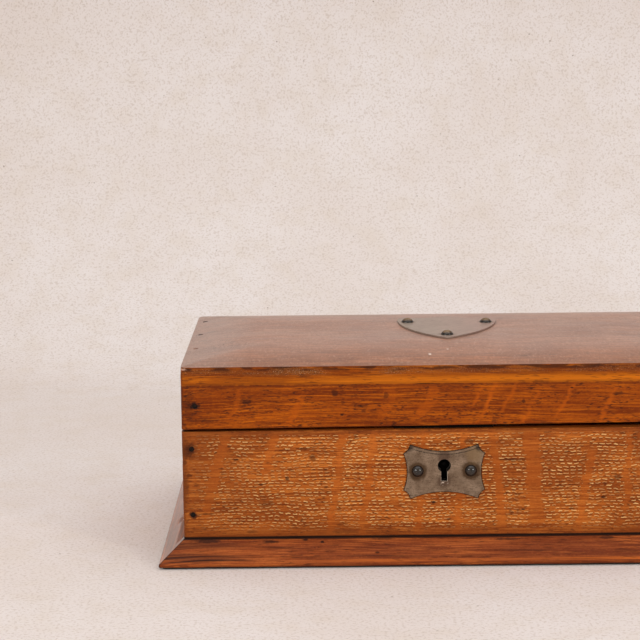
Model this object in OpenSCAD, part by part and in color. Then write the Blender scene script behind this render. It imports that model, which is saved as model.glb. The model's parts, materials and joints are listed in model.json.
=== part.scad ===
// Desk letter box of oak. A nailed carcase stands on a sloping, mitred plinth. A deep lid with a
// softly crowned top turns on two butt hinges let into the back. A box lock in the front board
// throws its bolt through two staples under the lid. There is a keyhole plate on the front and a
// plain shield plate on the lid.
// Millimetres: X to the right, Y to the back, Z up from the surface that the box stands on.
// The origin is the middle of the footprint. The lid is drawn shut and the lock open.

/* [Carcase] */
// Width of the carcase and the lid
box_w = 305; // [270:1:380]
// Depth of the carcase and the lid, front to back
box_d = 180; // [160:1:240]
// Height of the carcase's top edge
body_top = 77.2; // [70:0.1:110]
// Thickness of the front, back and side boards, of the carcase and of the lid
board_t = 11; // [10.6:0.1:14]
// Thickness of the bottom board
bottom_t = 7; // [5:0.1:9]
// Rounding of the two upright corners at the front, on carcase and lid
front_corner_r = 1.5; // [0.5:0.1:3]
// Rounding of the two upright corners at the back, on carcase and lid
back_corner_r = 4; // [1:0.1:4]

/* [Plinth] */
// Height of the plinth moulding
plinth_h = 13.5; // [12:0.1:18]
// How far the plinth stands out from the boards
plinth_out = 13.8; // [8:0.1:20]
// Rounding of the plinth's toe
toe_r = 1.5; // [0.5:0.1:3]
// Thickness of the baize under the box
pad_t = 0.8; // [0.5:0.1:2]
// How far the baize stays in from the plinth's toe
pad_inset = 2; // [1:0.1:6]

/* [Lid] */
// Gap between carcase and lid at the left end
lid_gap_left = 1.4; // [1:0.1:3]
// Gap between carcase and lid at the right end, wider because the lid's edge is worn on a slant
lid_gap_right = 3.4; // [2.6:0.1:4.2]
// Height of the lid's rails at the left end
rail_h = 25.3; // [18:0.1:35]
// Thickness of the lid's top board at its edges
lid_edge_t = 10.5; // [8:0.1:14]
// Rise of the crowned top above its edges
crown_rise = 5.3; // [2:0.1:8]
// Width of the curved margin round the flat middle of the top
crown_margin = 60; // [40:1:70]

/* [Hinges] */
// Distance of each hinge's middle from the box's end
hinge_in = 57.5; // [45:0.5:80]
// Length of a hinge
hinge_l = 30; // [24:1:40]
// Thickness of a hinge leaf
leaf_t = 1.2; // [1:0.1:1.5]
// Depth of the hinge pin's axis inside the back face
hinge_inset = 3.2; // [3:0.1:3.6]
// Diameter of the hinge pin
hinge_pin_d = 2; // [1.6:0.1:2.2]
// Angle at which the bevelled back edges meet and stop the lid
stop_angle = 100.5; // [95:0.5:110]

/* [Lock] */
// Distance of the lock, keyhole and keyhole plate from the middle of the box
lock_x = -3; // [-20:0.5:20]
// Depth of the drill pin below the carcase's top edge
key_drop = 21.1; // [20.5:0.1:24]
// Width of the lock's back plate and flange
lock_w = 56; // [54:0.5:64]
// Height of the lock's back plate
lock_h = 34.7; // [33:0.1:42]
// Thickness of the lock's back plate and flange
lock_plate_t = 1.2; // [1:0.1:1.5]
// Width of the lock's cap
case_w = 42; // [42:0.5:44]
// Depth of the lock's cap in the front board
case_depth = 7; // [6.6:0.1:7.4]
// Thickness of the cap's sheet
cap_t = 1; // [0.8:0.1:1.2]
// Diameter of the drill pin
drill_pin_d = 2.2; // [1.6:0.1:2.6]
// Travel of the bolt when the lock is shut
bolt_throw = 5.5; // [4.5:0.1:6]
// Thickness of the bolt
bolt_t = 2; // [1.6:0.1:2.2]
// Height of the bolt's fingers
finger_h = 2.2; // [1.8:0.1:2.6]
// Distance between the two staples
staple_pitch = 17; // [16:0.1:17.5]
// Thickness of a staple along the bolt's travel
staple_t = 2; // [1.6:0.1:2.2]
// Width of the link plate
link_w = 46; // [42:0.5:54]
// Thickness of the link plate
link_t = 1.3; // [1:0.05:2]

/* [Keyhole] */
// Diameter of the keyhole's round head
key_head_d = 7; // [6.4:0.1:8]
// Width of the keyhole's slot
key_slot_w = 3.4; // [2.8:0.1:4]
// Depth of the slot's end below the drill pin's axis
key_slot_drop = 8.9; // [8:0.1:11]

/* [Keyhole plate] */
// Width over the plate's side tips
plate_w = 46.6; // [44:0.1:54]
// Height over the plate's top and bottom tips
plate_h = 32; // [29:0.1:38]
// Thickness of the keyhole plate
plate_t = 0.9; // [0.6:0.1:1.5]
// Distance between the keyhole plate's two pins
plate_pin_pitch = 30.4; // [28:0.1:33]
// Diameter of the keyhole plate's pin heads
plate_pin_head_d = 6.9; // [5:0.1:8]

/* [Shield plate] */
// Width of the shield between its flanks
shield_w = 61.4; // [56:0.1:70]
// Length of the shield from its shoulders to its point
shield_l = 70; // [64:0.1:76]
// Height of the peak in the shield's back edge above its shoulders
shield_peak = 7.7; // [4:0.1:10]
// Thickness of the shield
shield_t = 1.1; // [0.8:0.1:2]
// Distance of the shield's middle from the middle of the box
shield_x = 4.7; // [-20:0.1:20]
// Angle by which the shield is turned on the lid, clockwise from above
shield_turn = 3.5; // [0:0.1:8]
// Diameter of the shield's pin heads
shield_pin_head_d = 7.8; // [6:0.1:9]

/* [Nails and screws] */
// Diameter of a nail's shank
nail_d = 1.5; // [1.2:0.1:2]
// Diameter of a nail's head
nail_head_d = 3; // [2.4:0.1:3.6]
// Length of the nails at the corners
corner_nail_l = 26; // [20:0.5:32]
// Length of the nails through the bottom board
bottom_nail_l = 20; // [16:0.5:26]
// Length of the nails through the lid's top board
top_nail_l = 24; // [20:0.5:28]
// Length of the brads that hold the plinth
brad_l = 10; // [8:0.5:12]
// Depth to which nail heads are punched below the wood
nail_sink = 0.3; // [0.1:0.05:0.5]
// Diameter of a screw's shank
screw_d = 2.2; // [1.8:0.1:2.4]
// Diameter of a screw's head
screw_head_d = 4; // [3.6:0.1:4.2]
// Length of the hinge screws
hinge_screw_l = 10; // [8:0.5:14]
// Length of the lock's and the link plate's screws
lock_screw_l = 8; // [6:0.5:9]
// Length of the shank of the shield's pins
shield_pin_l = 11; // [8:0.5:13]

/* [Hidden] */
$fn = 64;
// Facets of the wide arcs in the interpreter's own mesh
wide_fn = 360;
// Overshoot of a cut past the face that it opens
eps = 1;

oak = "#a8642c";
dark_oak = "#8a4a24";
pale_oak = "#b87a45";
iron = "#2c2622";
steel = "#7d746c";
brass = "#a88a4a";
baize = "#1d1a18";

// Outer faces and edges of the carcase and the lid
side_x = box_w / 2;
face_y = box_d / 2;
inner_y = face_y - board_t;
plinth_top = pad_t + plinth_h;
// How far the plinth reaches in behind the box's faces, to be cut back to its round corners
plinth_root = max(front_corner_r, back_corner_r);
wall_bottom = pad_t + bottom_t;
joint_z = body_top + lid_gap_left + rail_h;
crown_z = joint_z + lid_edge_t + crown_rise;
crown_r = (crown_margin * crown_margin + crown_rise * crown_rise) / (2 * crown_rise);
// Flat strips that follow each curved margin
crown_steps = 12;

// Worn lower edge of the lid above a place x
function lid_under(x) =
    body_top + lid_gap_left + (lid_gap_right - lid_gap_left) * (x / box_w + 0.5);

// Drop of the crown below its flat middle, at a distance u from the middle of a span
function crown_drop(u, half) =
    let (past = abs(u) - (half - crown_margin))
    past <= 0 ? 0 : crown_r - sqrt(crown_r * crown_r - past * past);
function crown_at(x, y) = crown_z - max(crown_drop(x, side_x), crown_drop(y, face_y));

// Hinges: the upper leaf is just let into the higher end of the lid's worn edge
leaf_sink = 0.1;
hinge_x = side_x - hinge_in;
hinge_end = hinge_x + hinge_l / 2;
leaf_gap = max(lid_under(-hinge_end), lid_under(hinge_end)) - body_top + leaf_sink - leaf_t;
knuckle_r = leaf_gap / 2 + leaf_t;
hinge_y = face_y - hinge_inset;
hinge_z = body_top + leaf_gap / 2;
leaf_edge = 0.5;
knuckle_play = 0.3;
knuckle_end_play = 0.1;
pin_play = 0.05;
knuckle_relief = 0.4;
knuckle_end_relief = 0.8;
leaf_in = inner_y + leaf_edge;
leaf_out = hinge_y - knuckle_r - knuckle_play;
leaf_screw_y = (leaf_in + leaf_out) / 2;
leaf_screw_pitch = hinge_l / 3;

// Lock: it is let into the inside of the front board, its plate standing on the inner face
lock_y = -inner_y;
case_front = lock_y - case_depth;
cavity_front = case_front + cap_t;
works_y = (cavity_front + lock_y) / 2;
key_z = body_top - key_drop;
flange_top = body_top + lock_plate_t;
flange_lip = 0.2;
flange_front = case_front - flange_lip;
case_bottom_margin = 1.3;
plate_bottom = body_top - lock_h;
case_bottom = plate_bottom + case_bottom_margin;
mortise_play = 0.2;
keyhole_play = 0.2;
plate_corner_r = 3;
lock_screw_in = 3.5;
lock_screw_drop = 8;

// Link plate: it is just let into the worn edge of the lid above the lock
link_sink = 0.1;
link_rest = 0.1;
link_y0 = flange_front;
link_back = 0.4;
link_y1 = lock_y - link_back;
link_high = max(lid_under(lock_x - link_w / 2), lid_under(lock_x + link_w / 2)) + link_sink;
link_bottom = max(link_high - link_t, flange_top + link_rest);
link_top = link_bottom + link_t;
link_play = 0.15;
link_screw_in = 4.5;
link_screw_x = link_w / 2 - link_screw_in;

// Bolt: two fingers on posts, above a plate that slides on two studs
staple_play = 0.6;
staple_slot_play = 0.6;
finger_side_play = 0.4;
finger_up_play = 0.5;
finger_drop = 6.2;
finger_z = body_top - finger_drop;
staple_w = lock_y - cavity_front - 2 * staple_play;
staple_foot = 1.2;
staple_end = finger_z - finger_h / 2 - finger_up_play - staple_foot;
tenon_in = 1;
bolt_clear = 0.4;
bolt_top = staple_end - bolt_clear;
bolt_rise = 5.7;
bolt_bottom = key_z + bolt_rise;
finger_gap = 0.6;
post_w = 3.2;
post_gap = 0.1;
bolt_right = 13.5;
stud_d = 2.4;
stud_play = 0.1;
stud_drop = 2.6;
stud_z = bolt_top - stud_drop;
stud_x = 9.5;
stud_end_gap = 1;
talon_w = 6.5;
talon_h = 3.2;
rivet_d = 2.2;
rivet_in = 4;
rivet_x = case_w / 2 - rivet_in;
rivet_drop = 3.2;
rivet_rise = 3.5;

// Detent spring: an eye on a stud, an upright arm and a nib in the bolt's lower edge
nib_x = 11.5;
nib_r = 0.8;
notch_r = 1;
spring_t = 0.5;
spring_w = 3;
spring_stud_x = 15.8;
spring_drop = 9;
spring_stud_z = bolt_bottom - spring_drop;
spring_eye_r = 1.9;
spring_arm_x = spring_stud_x + spring_eye_r - spring_t / 2;
knee_drop = 2.6;
spring_arm_z = bolt_bottom - knee_drop;

// Keyhole plate: its tips, and how far each edge is drawn in between them
plate_drop = 3.5;
plate_z = key_z - plate_drop;
plate_corner_w = 3.8;
plate_corner_h = 5.2;
plate_tip_x = plate_w / 2 - plate_corner_w;
plate_tip_z = plate_h / 2 - plate_corner_h;
plate_waist = 4.1;
plate_side_waist = 2.1;
plate_notch = 0.9;
plate_pin_up = 0.4;
plate_pin_d = 1.6;
plate_pin_h = 2.4;
plate_pin_stop = 0.6;

// Shield plate: half its length lies behind its middle
shield_flank_r = 88.5;
shield_lobe_r = 4;
shield_point_y = -36;
shield_shoulder = shield_point_y + shield_l;
shield_hollow_x = 20;
shield_hollow = 1.9;
shield_pin_in = 6.4;
shield_pin_x = shield_w / 2 - shield_pin_in;
shield_pin_back = 14.3;
shield_pin_front = 11.1;
shield_pin_d = 1.8;
shield_pin_h = 2.7;

// Nails and brads
nail_head_t = 0.8;
nail_point = 2;
nail_in = board_t / 2;
nail_up = 14.2;
nail_down = 10.1;
lid_nail_in = 7.9;
lid_nail_down = 11.9;
top_nail_back = 27.4;
top_nail_pitch = 48.7;
brad_d = 1.2;
brad_above = 1.9;
brad_sink = 1.2;
brad_z = wall_bottom + brad_above;
screw_head_h = 1.1;
screw_point = 2;
screw_slot_w = 0.6;
screw_slot_h = 0.4;

// A plan w wide and d deep with round corners, r_front at the front and r_back at the back
module plan(w, d, r_front, r_back) {
    translate([-w / 2, -d / 2 + r_front]) square([w, d - r_front - r_back]);
    translate([-w / 2 + r_front, -d / 2]) square([w - 2 * r_front, r_front + eps]);
    translate([-w / 2 + r_back, d / 2 - r_back - eps]) square([w - 2 * r_back, r_back + eps]);
    for (s = [-1, 1]) {
        translate([s * (w / 2 - r_front), -d / 2 + r_front]) circle(r_front);
        translate([s * (w / 2 - r_back), d / 2 - r_back]) circle(r_back);
    }
}

// The outline of carcase and lid as a solid between two heights
module box_block(z0, z1) {
    translate([0, 0, z0])
        linear_extrude(z1 - z0) plan(box_w, box_d, front_corner_r, back_corner_r);
}

// A box between two corners
module block(a, b) {
    translate(a) cube(b - a);
}

// An outline in X and Z, extruded along Y from y0 to y1
module along_y(y0, y1) {
    translate([0, y1, 0]) rotate([90, 0, 0]) linear_extrude(y1 - y0) children();
}

// An outline in Y and Z, extruded along X from x0 to x1
module along_x(x0, x1) {
    translate([x0, 0, 0]) rotate([90, 0, 90]) linear_extrude(x1 - x0) children();
}

// A nail's form that points down from the face at height 0, its head drawn up to height top
module nail_form(length, top) {
    head_bottom = -nail_sink - nail_head_t;
    rotate_extrude()
        polygon([[0, -length], [nail_d / 6, -length], [nail_d / 2, nail_point - length],
            [nail_d / 2, head_bottom], [nail_head_d / 2, head_bottom], [nail_head_d / 2, top], [0, top]]);
}

// A nail with its head punched below the face
module nail(length) {
    nail_form(length, -nail_sink);
}

module nail_hole(length) {
    nail_form(length, eps);
}

// A brad that points down from the bottom of its punched hole at height 0
module brad() {
    translate([0, 0, -brad_l]) cylinder(d = brad_d, h = brad_l);
}

// A countersunk screw that points down, its head flush with height 0, or its hole up to height top
module screw_form(length, top) {
    mouth = top > 0 ? [[screw_head_d / 2, top], [0, top]] : [[0, 0]];
    rotate_extrude()
        polygon(concat([[0, -length], [screw_d / 8, -length], [screw_d / 2, screw_point - length],
            [screw_d / 2, -screw_head_h], [screw_head_d / 2, 0]], mouth));
}

module screw_hole(length) {
    screw_form(length, eps);
}

module screw(length) {
    difference() {
        screw_form(length, 0);
        block([-screw_head_d, -screw_slot_w / 2, -screw_slot_h], [screw_head_d, screw_slot_w / 2, eps]);
    }
}

// A round-headed pin that points down, its head resting on height 0
module dome_pin(head_d, head_h, shank_d, shank_l) {
    ball_r = (head_d * head_d / 4 + head_h * head_h) / (2 * head_h);
    intersection() {
        translate([0, 0, head_h - ball_r]) sphere(ball_r);
        cylinder(d = head_d + eps, h = head_h + eps);
    }
    translate([0, 0, -shank_l]) cylinder(d = shank_d, h = shank_l + head_h / 2);
}

// Places of the nails through the front and back boards, pointing into the side boards
module at_corner_nails() {
    for (sx = [-1, 1])
        for (back = [0, 1])
            for (z = [plinth_top + nail_up, body_top - nail_down])
                rotate([0, 0, 180 * back]) translate([sx * (side_x - nail_in), -face_y, z])
                    rotate([90, 0, 0]) children();
}

// Places of the nails through the bottom board, pointing up into the walls
module at_bottom_nails() {
    for (sy = [-1, 1])
        for (i = [-1.5:1.5])
            translate([i * box_w / 4, sy * (face_y - nail_in), pad_t])
                rotate([180, 0, 0]) children();
    for (sx = [-1, 1])
        for (sy = [-1, 1])
            translate([sx * (side_x - nail_in), sy * box_d / 4, pad_t])
                rotate([180, 0, 0]) children();
}

// Distance of the plinth's slope from the boards at height z
function plinth_slope(z) =
    let (foot = plinth_toe())
    foot.x * (plinth_h - (z - pad_t)) / (plinth_h - foot.y);

// Point where the plinth's slope meets its round toe, outwards and up from its lower inner edge
function plinth_toe() =
    let (
        reach = [plinth_out - toe_r, toe_r - plinth_h],
        span = norm(reach),
        aim = atan2(reach.y, reach.x) + asin(toe_r / span),
        run = sqrt(span * span - toe_r * toe_r)
    )
    [run * cos(aim), plinth_h + run * sin(aim)];

// Places of the plinth's brads, at the bottom of their punched holes
module at_brads() {
    reach = plinth_slope(brad_z) - brad_sink;
    for (back = [0, 1])
        for (i = [-1, 0, 1])
            rotate([0, 0, 180 * back]) translate([i * box_w / 4, -face_y - reach, brad_z])
                rotate([90, 0, 0]) children();
    for (back = [0, 1])
        for (i = [-1, 1])
            rotate([0, 0, 180 * back]) translate([-side_x - reach, i * box_d / 8, brad_z])
                rotate([0, -90, 0]) children();
}

module brad_hole() {
    translate([0, 0, -brad_l]) cylinder(d = brad_d, h = brad_l + 2 * brad_sink + eps);
}

// Places of the lid's corner nails and of the nails through its top board
module at_lid_corner_nails() {
    for (sx = [-1, 1])
        for (back = [0, 1])
            rotate([0, 0, 180 * back])
                translate([sx * (side_x - lid_nail_in), -face_y, joint_z - lid_nail_down])
                    rotate([90, 0, 0]) children();
}

module at_top_nails() {
    for (sx = [-1, 1])
        for (i = [0:2]) {
            x = sx * (side_x - nail_in);
            y = face_y - top_nail_back - i * top_nail_pitch;
            translate([x, y, crown_at(x, y)]) children();
        }
}

// Keyhole outline about the drill pin's axis, in X and Z
module keyhole(play) {
    circle(d = key_head_d + 2 * play);
    translate([-key_slot_w / 2 - play, -key_slot_drop - play])
        square([key_slot_w + 2 * play, key_slot_drop + play]);
}

module keyhole_cut(y0, y1, play) {
    along_y(y0, y1) translate([lock_x, key_z]) keyhole(play);
}

// Places of the lock's screws: two down through the flange and two through the back plate
module at_lock_screws() {
    for (s = [-1, 1]) {
        translate([lock_x + s * (lock_w / 2 - lock_screw_in), works_y, flange_top]) children();
        at_lock(lock_x + s * (lock_w / 2 - lock_screw_in), key_z - lock_screw_drop) children();
    }
}

module at_plate_pins() {
    for (s = [-1, 1])
        translate([lock_x + s * plate_pin_pitch / 2, -face_y - plate_t, plate_z + plate_pin_up])
            rotate([90, 0, 0]) children();
}

module at_shield() {
    translate([shield_x, 0, crown_z]) rotate([0, 0, -shield_turn]) children();
}

module at_shield_pins() {
    for (p = [[-shield_pin_x, shield_shoulder - shield_pin_back],
            [shield_pin_x, shield_shoulder - shield_pin_back],
            [0, shield_point_y + shield_pin_front]])
        at_shield() translate([p.x, p.y, shield_t]) children();
}

module at_link_screws() {
    for (s = [-1, 1])
        translate([lock_x + s * link_screw_x, (link_y0 + link_y1) / 2, link_bottom])
            rotate([180, 0, 0]) children();
}

// Places of one hinge's three screws, relative to the hinge's middle
module at_leaf_screws() {
    for (i = [-1, 0, 1]) translate([i * leaf_screw_pitch, leaf_screw_y, 0]) children();
}

module at_lower_screws(hx) {
    translate([hx, 0, body_top]) at_leaf_screws() children();
}

module at_upper_screws(hx) {
    translate([hx, 0, hinge_z + knuckle_r - leaf_t]) at_leaf_screws() rotate([180, 0, 0]) children();
}

// Bevels along the back edges of carcase and lid, which meet when the lid is open
module back_bevel() {
    rise = (hinge_inset + eps) * tan(stop_angle / 2);
    along_x(-side_x - eps, side_x + eps)
        polygon([[hinge_y, hinge_z], [face_y + eps, hinge_z - rise], [face_y + eps, hinge_z + rise]]);
}

// Room in the wood for a hinge's knuckles
module knuckle_room(hx) {
    reach = hinge_l / 2 + knuckle_end_relief;
    translate([hx - reach, hinge_y, hinge_z]) rotate([0, 90, 0])
        cylinder(r = knuckle_r + knuckle_relief, h = 2 * reach);
}

// Space taken by the lock in the front board
module lock_mortise() {
    block([lock_x - case_w / 2 - mortise_play, case_front, case_bottom - mortise_play],
        [lock_x + case_w / 2 + mortise_play, lock_y + eps, body_top + eps]);
}

module front_board() {
    color(oak)
        difference() {
            intersection() {
                box_block(wall_bottom, body_top);
                block([-side_x, -face_y, 0], [side_x, lock_y, body_top + eps]);
            }
            lock_mortise();
            keyhole_cut(-face_y - eps, lock_y, keyhole_play);
            at_corner_nails() nail_hole(corner_nail_l);
            at_bottom_nails() nail_hole(bottom_nail_l);
            at_brads() brad_hole();
            at_lock_screws() screw_hole(lock_screw_l);
            at_plate_pins() cylinder(d = plate_pin_d, h = 2 * plate_pin_length(), center = true);
        }
}

module back_board() {
    color(oak)
        difference() {
            intersection() {
                box_block(wall_bottom, body_top);
                block([-side_x, inner_y, 0], [side_x, face_y, body_top + eps]);
            }
            back_bevel();
            for (hx = [-hinge_x, hinge_x]) {
                knuckle_room(hx);
                block([hx - hinge_l / 2, leaf_in, body_top - leaf_t],
                    [hx + hinge_l / 2, hinge_y, body_top + eps]);
                at_lower_screws(hx) screw_hole(hinge_screw_l);
            }
            at_corner_nails() nail_hole(corner_nail_l);
            at_bottom_nails() nail_hole(bottom_nail_l);
            at_brads() brad_hole();
        }
}

// Side board of the carcase, side -1 for the left and 1 for the right
module side_board(side) {
    color(oak)
        difference() {
            translate([side * (side_x - board_t / 2), 0, (wall_bottom + body_top) / 2])
                cube([board_t, 2 * inner_y, body_top - wall_bottom], center = true);
            at_corner_nails() nail_hole(corner_nail_l);
            at_bottom_nails() nail_hole(bottom_nail_l);
            at_brads() brad_hole();
        }
}

module left_side() {
    side_board(-1);
}

module right_side() {
    side_board(1);
}

module bottom_board() {
    color(pale_oak)
        difference() {
            box_block(pad_t, wall_bottom);
            at_bottom_nails() nail_hole(bottom_nail_l);
        }
}

// Plinth moulding section, outwards from the boards and up
module plinth_section() {
    foot = plinth_toe();
    polygon([[-plinth_root, 0], [plinth_out - toe_r, 0], [plinth_out - toe_r, toe_r], foot,
        [0, plinth_h], [-plinth_root, plinth_h]]);
    translate([plinth_out - toe_r, toe_r]) circle(toe_r);
}

// One length of plinth with mitred ends, at the front of a box span wide and 2 * reach deep
module plinth_length(span, reach) {
    half = span / 2;
    difference() {
        intersection() {
            along_x(-half - plinth_out, half + plinth_out)
                translate([-reach, pad_t]) mirror([1, 0]) plinth_section();
            translate([0, 0, pad_t]) linear_extrude(plinth_h)
                polygon([[plinth_root - half, plinth_root - reach], [half - plinth_root, plinth_root - reach],
                    [half + plinth_out, -reach - plinth_out], [-half - plinth_out, -reach - plinth_out]]);
        }
        children();
    }
}

// Cuts that every plinth length shares
module plinth_cuts(turn) {
    rotate([0, 0, -turn]) {
        box_block(pad_t - eps, plinth_top + eps);
        at_brads() brad_hole();
    }
}

module plinth_piece(turn, span, reach) {
    color(dark_oak) rotate([0, 0, turn]) plinth_length(span, reach) plinth_cuts(turn);
}

module plinth_front() {
    plinth_piece(0, box_w, face_y);
}

module plinth_back() {
    plinth_piece(180, box_w, face_y);
}

module plinth_left() {
    plinth_piece(-90, box_d, side_x);
}

module plinth_right() {
    plinth_piece(90, box_d, side_x);
}

module base_baize() {
    out = plinth_out - pad_inset;
    color(baize) linear_extrude(pad_t)
        plan(box_w + 2 * out, box_d + 2 * out, pad_inset, pad_inset);
}

module corner_nails() {
    color(iron) at_corner_nails() nail(corner_nail_l);
}

module bottom_nails() {
    color(iron) at_bottom_nails() nail(bottom_nail_l);
}

module plinth_brads() {
    color(iron) at_brads() brad();
}

// Back plate of the lock with its flange bent forward over the front board's top edge
module lock_plate() {
    half = lock_w / 2;
    color(steel)
        difference() {
            union() {
                along_y(lock_y, lock_y + lock_plate_t) {
                    translate([lock_x - half, plate_bottom + plate_corner_r])
                        square([lock_w, flange_top - plate_bottom - plate_corner_r]);
                    translate([lock_x - half + plate_corner_r, plate_bottom])
                        square([lock_w - 2 * plate_corner_r, plate_corner_r + eps]);
                    for (s = [-1, 1])
                        translate([lock_x + s * (half - plate_corner_r), plate_bottom + plate_corner_r])
                            circle(plate_corner_r);
                }
                block([lock_x - half, flange_front, body_top], [lock_x + half, lock_y + eps / 2, flange_top]);
            }
            for (s = [-1, 1])
                staple_slot(s);
            at_lock_screws() screw_hole(lock_screw_l);
            at_rivets() cylinder(d = rivet_d, h = 3 * eps + case_depth, center = true);
            at_studs() cylinder(d = stud_d, h = 3 * eps + case_depth, center = true);
            at_key() cylinder(d = drill_pin_d, h = 3 * eps + case_depth, center = true);
        }
}

// Slot in the flange for a staple, s -1 for the left and 1 for the right
module staple_slot(s) {
    x = lock_x + s * staple_pitch / 2;
    reach = staple_t / 2 + staple_slot_play;
    block([x - reach, cavity_front, body_top - eps], [x + reach, lock_y, flange_top + eps]);
}

// Places of the lock's round parts, on the back of the plate and pointing back
module at_lock(x, z) {
    translate([x, lock_y + lock_plate_t, z]) rotate([-90, 0, 0]) children();
}

module at_rivets() {
    for (s = [-1, 1]) {
        at_lock(lock_x + s * rivet_x, body_top - rivet_drop) children();
        at_lock(lock_x + s * rivet_x, case_bottom + rivet_rise) children();
    }
}

module at_studs() {
    for (x = [-stud_x, stud_x])
        at_lock(lock_x + x, stud_z) children();
    at_lock(lock_x + spring_stud_x, spring_stud_z) children();
}

module at_key() {
    at_lock(lock_x, key_z) children();
}

// Cap of the lock: a tray with its open side against the back plate and its top open
module lock_cap() {
    half = case_w / 2;
    color(steel)
        difference() {
            block([lock_x - half, case_front, case_bottom], [lock_x + half, lock_y, body_top]);
            block([lock_x - half + cap_t, cavity_front, case_bottom + cap_t],
                [lock_x + half - cap_t, lock_y + eps, body_top + eps]);
            keyhole_cut(case_front - eps, cavity_front + eps, 0);
            at_rivets() cylinder(d = rivet_d, h = 4 * case_depth, center = true);
        }
}

module lock_rivets() {
    length = case_depth + lock_plate_t;
    color(steel) at_rivets() translate([0, 0, -length]) cylinder(d = rivet_d, h = length);
}

// Studs that guide the bolt and carry the spring
module lock_studs() {
    length = lock_y + lock_plate_t - cavity_front - stud_end_gap;
    color(steel) at_studs() translate([0, 0, -length]) cylinder(d = stud_d, h = length);
}

module drill_pin() {
    length = case_depth + lock_plate_t;
    color(steel) at_key() translate([0, 0, -length]) cylinder(d = drill_pin_d, h = length);
}

// Post and finger of the bolt that serve the staple at x, both from the lock's middle
module bolt_hook(x) {
    tip = x - staple_t / 2 - finger_gap;
    post = tip - bolt_throw - post_gap;
    translate([post - post_w, bolt_top - eps]) square([post_w, finger_z + finger_h / 2 - bolt_top + eps]);
    translate([post - eps, finger_z - finger_h / 2]) square([tip - post + eps, finger_h]);
}

module bolt_outline() {
    left = -staple_pitch / 2 - staple_t / 2 - finger_gap - bolt_throw - post_gap - post_w;
    difference() {
        union() {
            translate([left, bolt_bottom]) square([bolt_right - left, bolt_top - bolt_bottom]);
            for (s = [-1, 1])
                bolt_hook(s * staple_pitch / 2);
        }
        translate([-bolt_throw / 2 - talon_w / 2, bolt_bottom - eps]) square([talon_w, talon_h + eps]);
        for (x = [-stud_x, stud_x])
            guide_slot(x);
        for (x = [nib_x, nib_x - bolt_throw])
            translate([x, bolt_bottom]) circle(notch_r);
    }
}

// Slot for a stud at x, which lies at its right end while the lock is open
module guide_slot(x) {
    r = stud_d / 2 + stud_play;
    translate([x - bolt_throw, stud_z]) circle(r);
    translate([x, stud_z]) circle(r);
    translate([x - bolt_throw, stud_z - r]) square([bolt_throw, 2 * r]);
}

module lock_bolt() {
    color(brass)
        along_y(works_y - bolt_t / 2, works_y + bolt_t / 2) translate([lock_x, 0]) bolt_outline();
}

// A straight stretch of the spring's strip between two points
module strip(a, b) {
    run = b - a;
    translate(a) rotate(atan2(run.y, run.x))
        translate([0, -spring_t / 2]) square([norm(run), spring_t]);
}

module detent_spring() {
    nib = [nib_x, bolt_bottom];
    knee = [spring_arm_x, spring_arm_z];
    heel = [spring_arm_x, spring_stud_z];
    color(steel)
        along_y(works_y - spring_w / 2, works_y + spring_w / 2)
            translate([lock_x, 0]) {
                difference() {
                    translate([spring_stud_x, spring_stud_z]) circle(spring_eye_r);
                    translate([spring_stud_x, spring_stud_z]) circle(d = stud_d);
                }
                strip(heel, knee);
                translate(knee) circle(spring_t / 2);
                strip(knee, nib);
                translate(nib) circle(nib_r);
            }
}

module lock_screws() {
    color(steel) at_lock_screws() screw(lock_screw_l);
}

// A disc that draws an edge in by depth at its middle, between two tips 2 * half apart
module waist(half, depth) {
    r = (half * half + depth * depth) / (2 * depth);
    translate([0, r - depth]) circle(r, $fn = wide_fn);
}

module keyhole_plate_outline() {
    x0 = plate_tip_x;
    x1 = plate_w / 2;
    z0 = plate_tip_z;
    z1 = plate_h / 2;
    corner = [x1 - x0, z1 - z0];
    difference() {
        square([plate_w + 2 * eps, plate_h + 2 * eps], center = true);
        for (s = [0, 180])
            rotate(s) translate([0, z1]) waist(x0, plate_waist);
        for (s = [90, 270])
            rotate(s) translate([0, x1]) waist(z0, plate_side_waist);
        for (mx = [0, 1])
            for (mz = [0, 1])
                mirror([mx, 0]) mirror([0, mz]) translate([(x0 + x1) / 2, (z0 + z1) / 2])
                    rotate(-atan2(corner.y, corner.x)) waist(norm(corner) / 2, plate_notch);
    }
}

module keyhole_plate() {
    color(steel)
        difference() {
            along_y(-face_y - plate_t, -face_y) translate([lock_x, plate_z]) keyhole_plate_outline();
            keyhole_cut(-face_y - plate_t - eps, -face_y + eps, 0);
            at_plate_pins() cylinder(d = plate_pin_d, h = 2 * plate_pin_length(), center = true);
        }
}

// The keyhole plate's pins stop short of the lock behind them
function plate_pin_length() = plate_t + board_t - case_depth - plate_pin_stop;

module keyhole_plate_pins() {
    color(iron) at_plate_pins() dome_pin(plate_pin_head_d, plate_pin_h, plate_pin_d, plate_pin_length());
}

// Flat of a hinge leaf between two heights, with a strap to each knuckle that it carries
module leaf_flat(z0, spans) {
    block([-hinge_l / 2, leaf_in, z0], [hinge_l / 2, leaf_out, z0 + leaf_t]);
    for (s = spans)
        block([s[0], leaf_out - eps, z0], [s[1], hinge_y, z0 + leaf_t]);
}

module knuckle(span) {
    translate([span[0], hinge_y, hinge_z]) rotate([0, 90, 0])
        cylinder(r = knuckle_r, h = span[1] - span[0]);
}

module knuckle_bore(bore_r) {
    translate([-hinge_l, hinge_y, hinge_z]) rotate([0, 90, 0]) cylinder(r = bore_r, h = 2 * hinge_l);
}

module leaf(z0, spans, bore_r) {
    difference() {
        union() {
            leaf_flat(z0, spans);
            for (s = spans)
                knuckle(s);
        }
        knuckle_bore(bore_r);
    }
}

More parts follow.
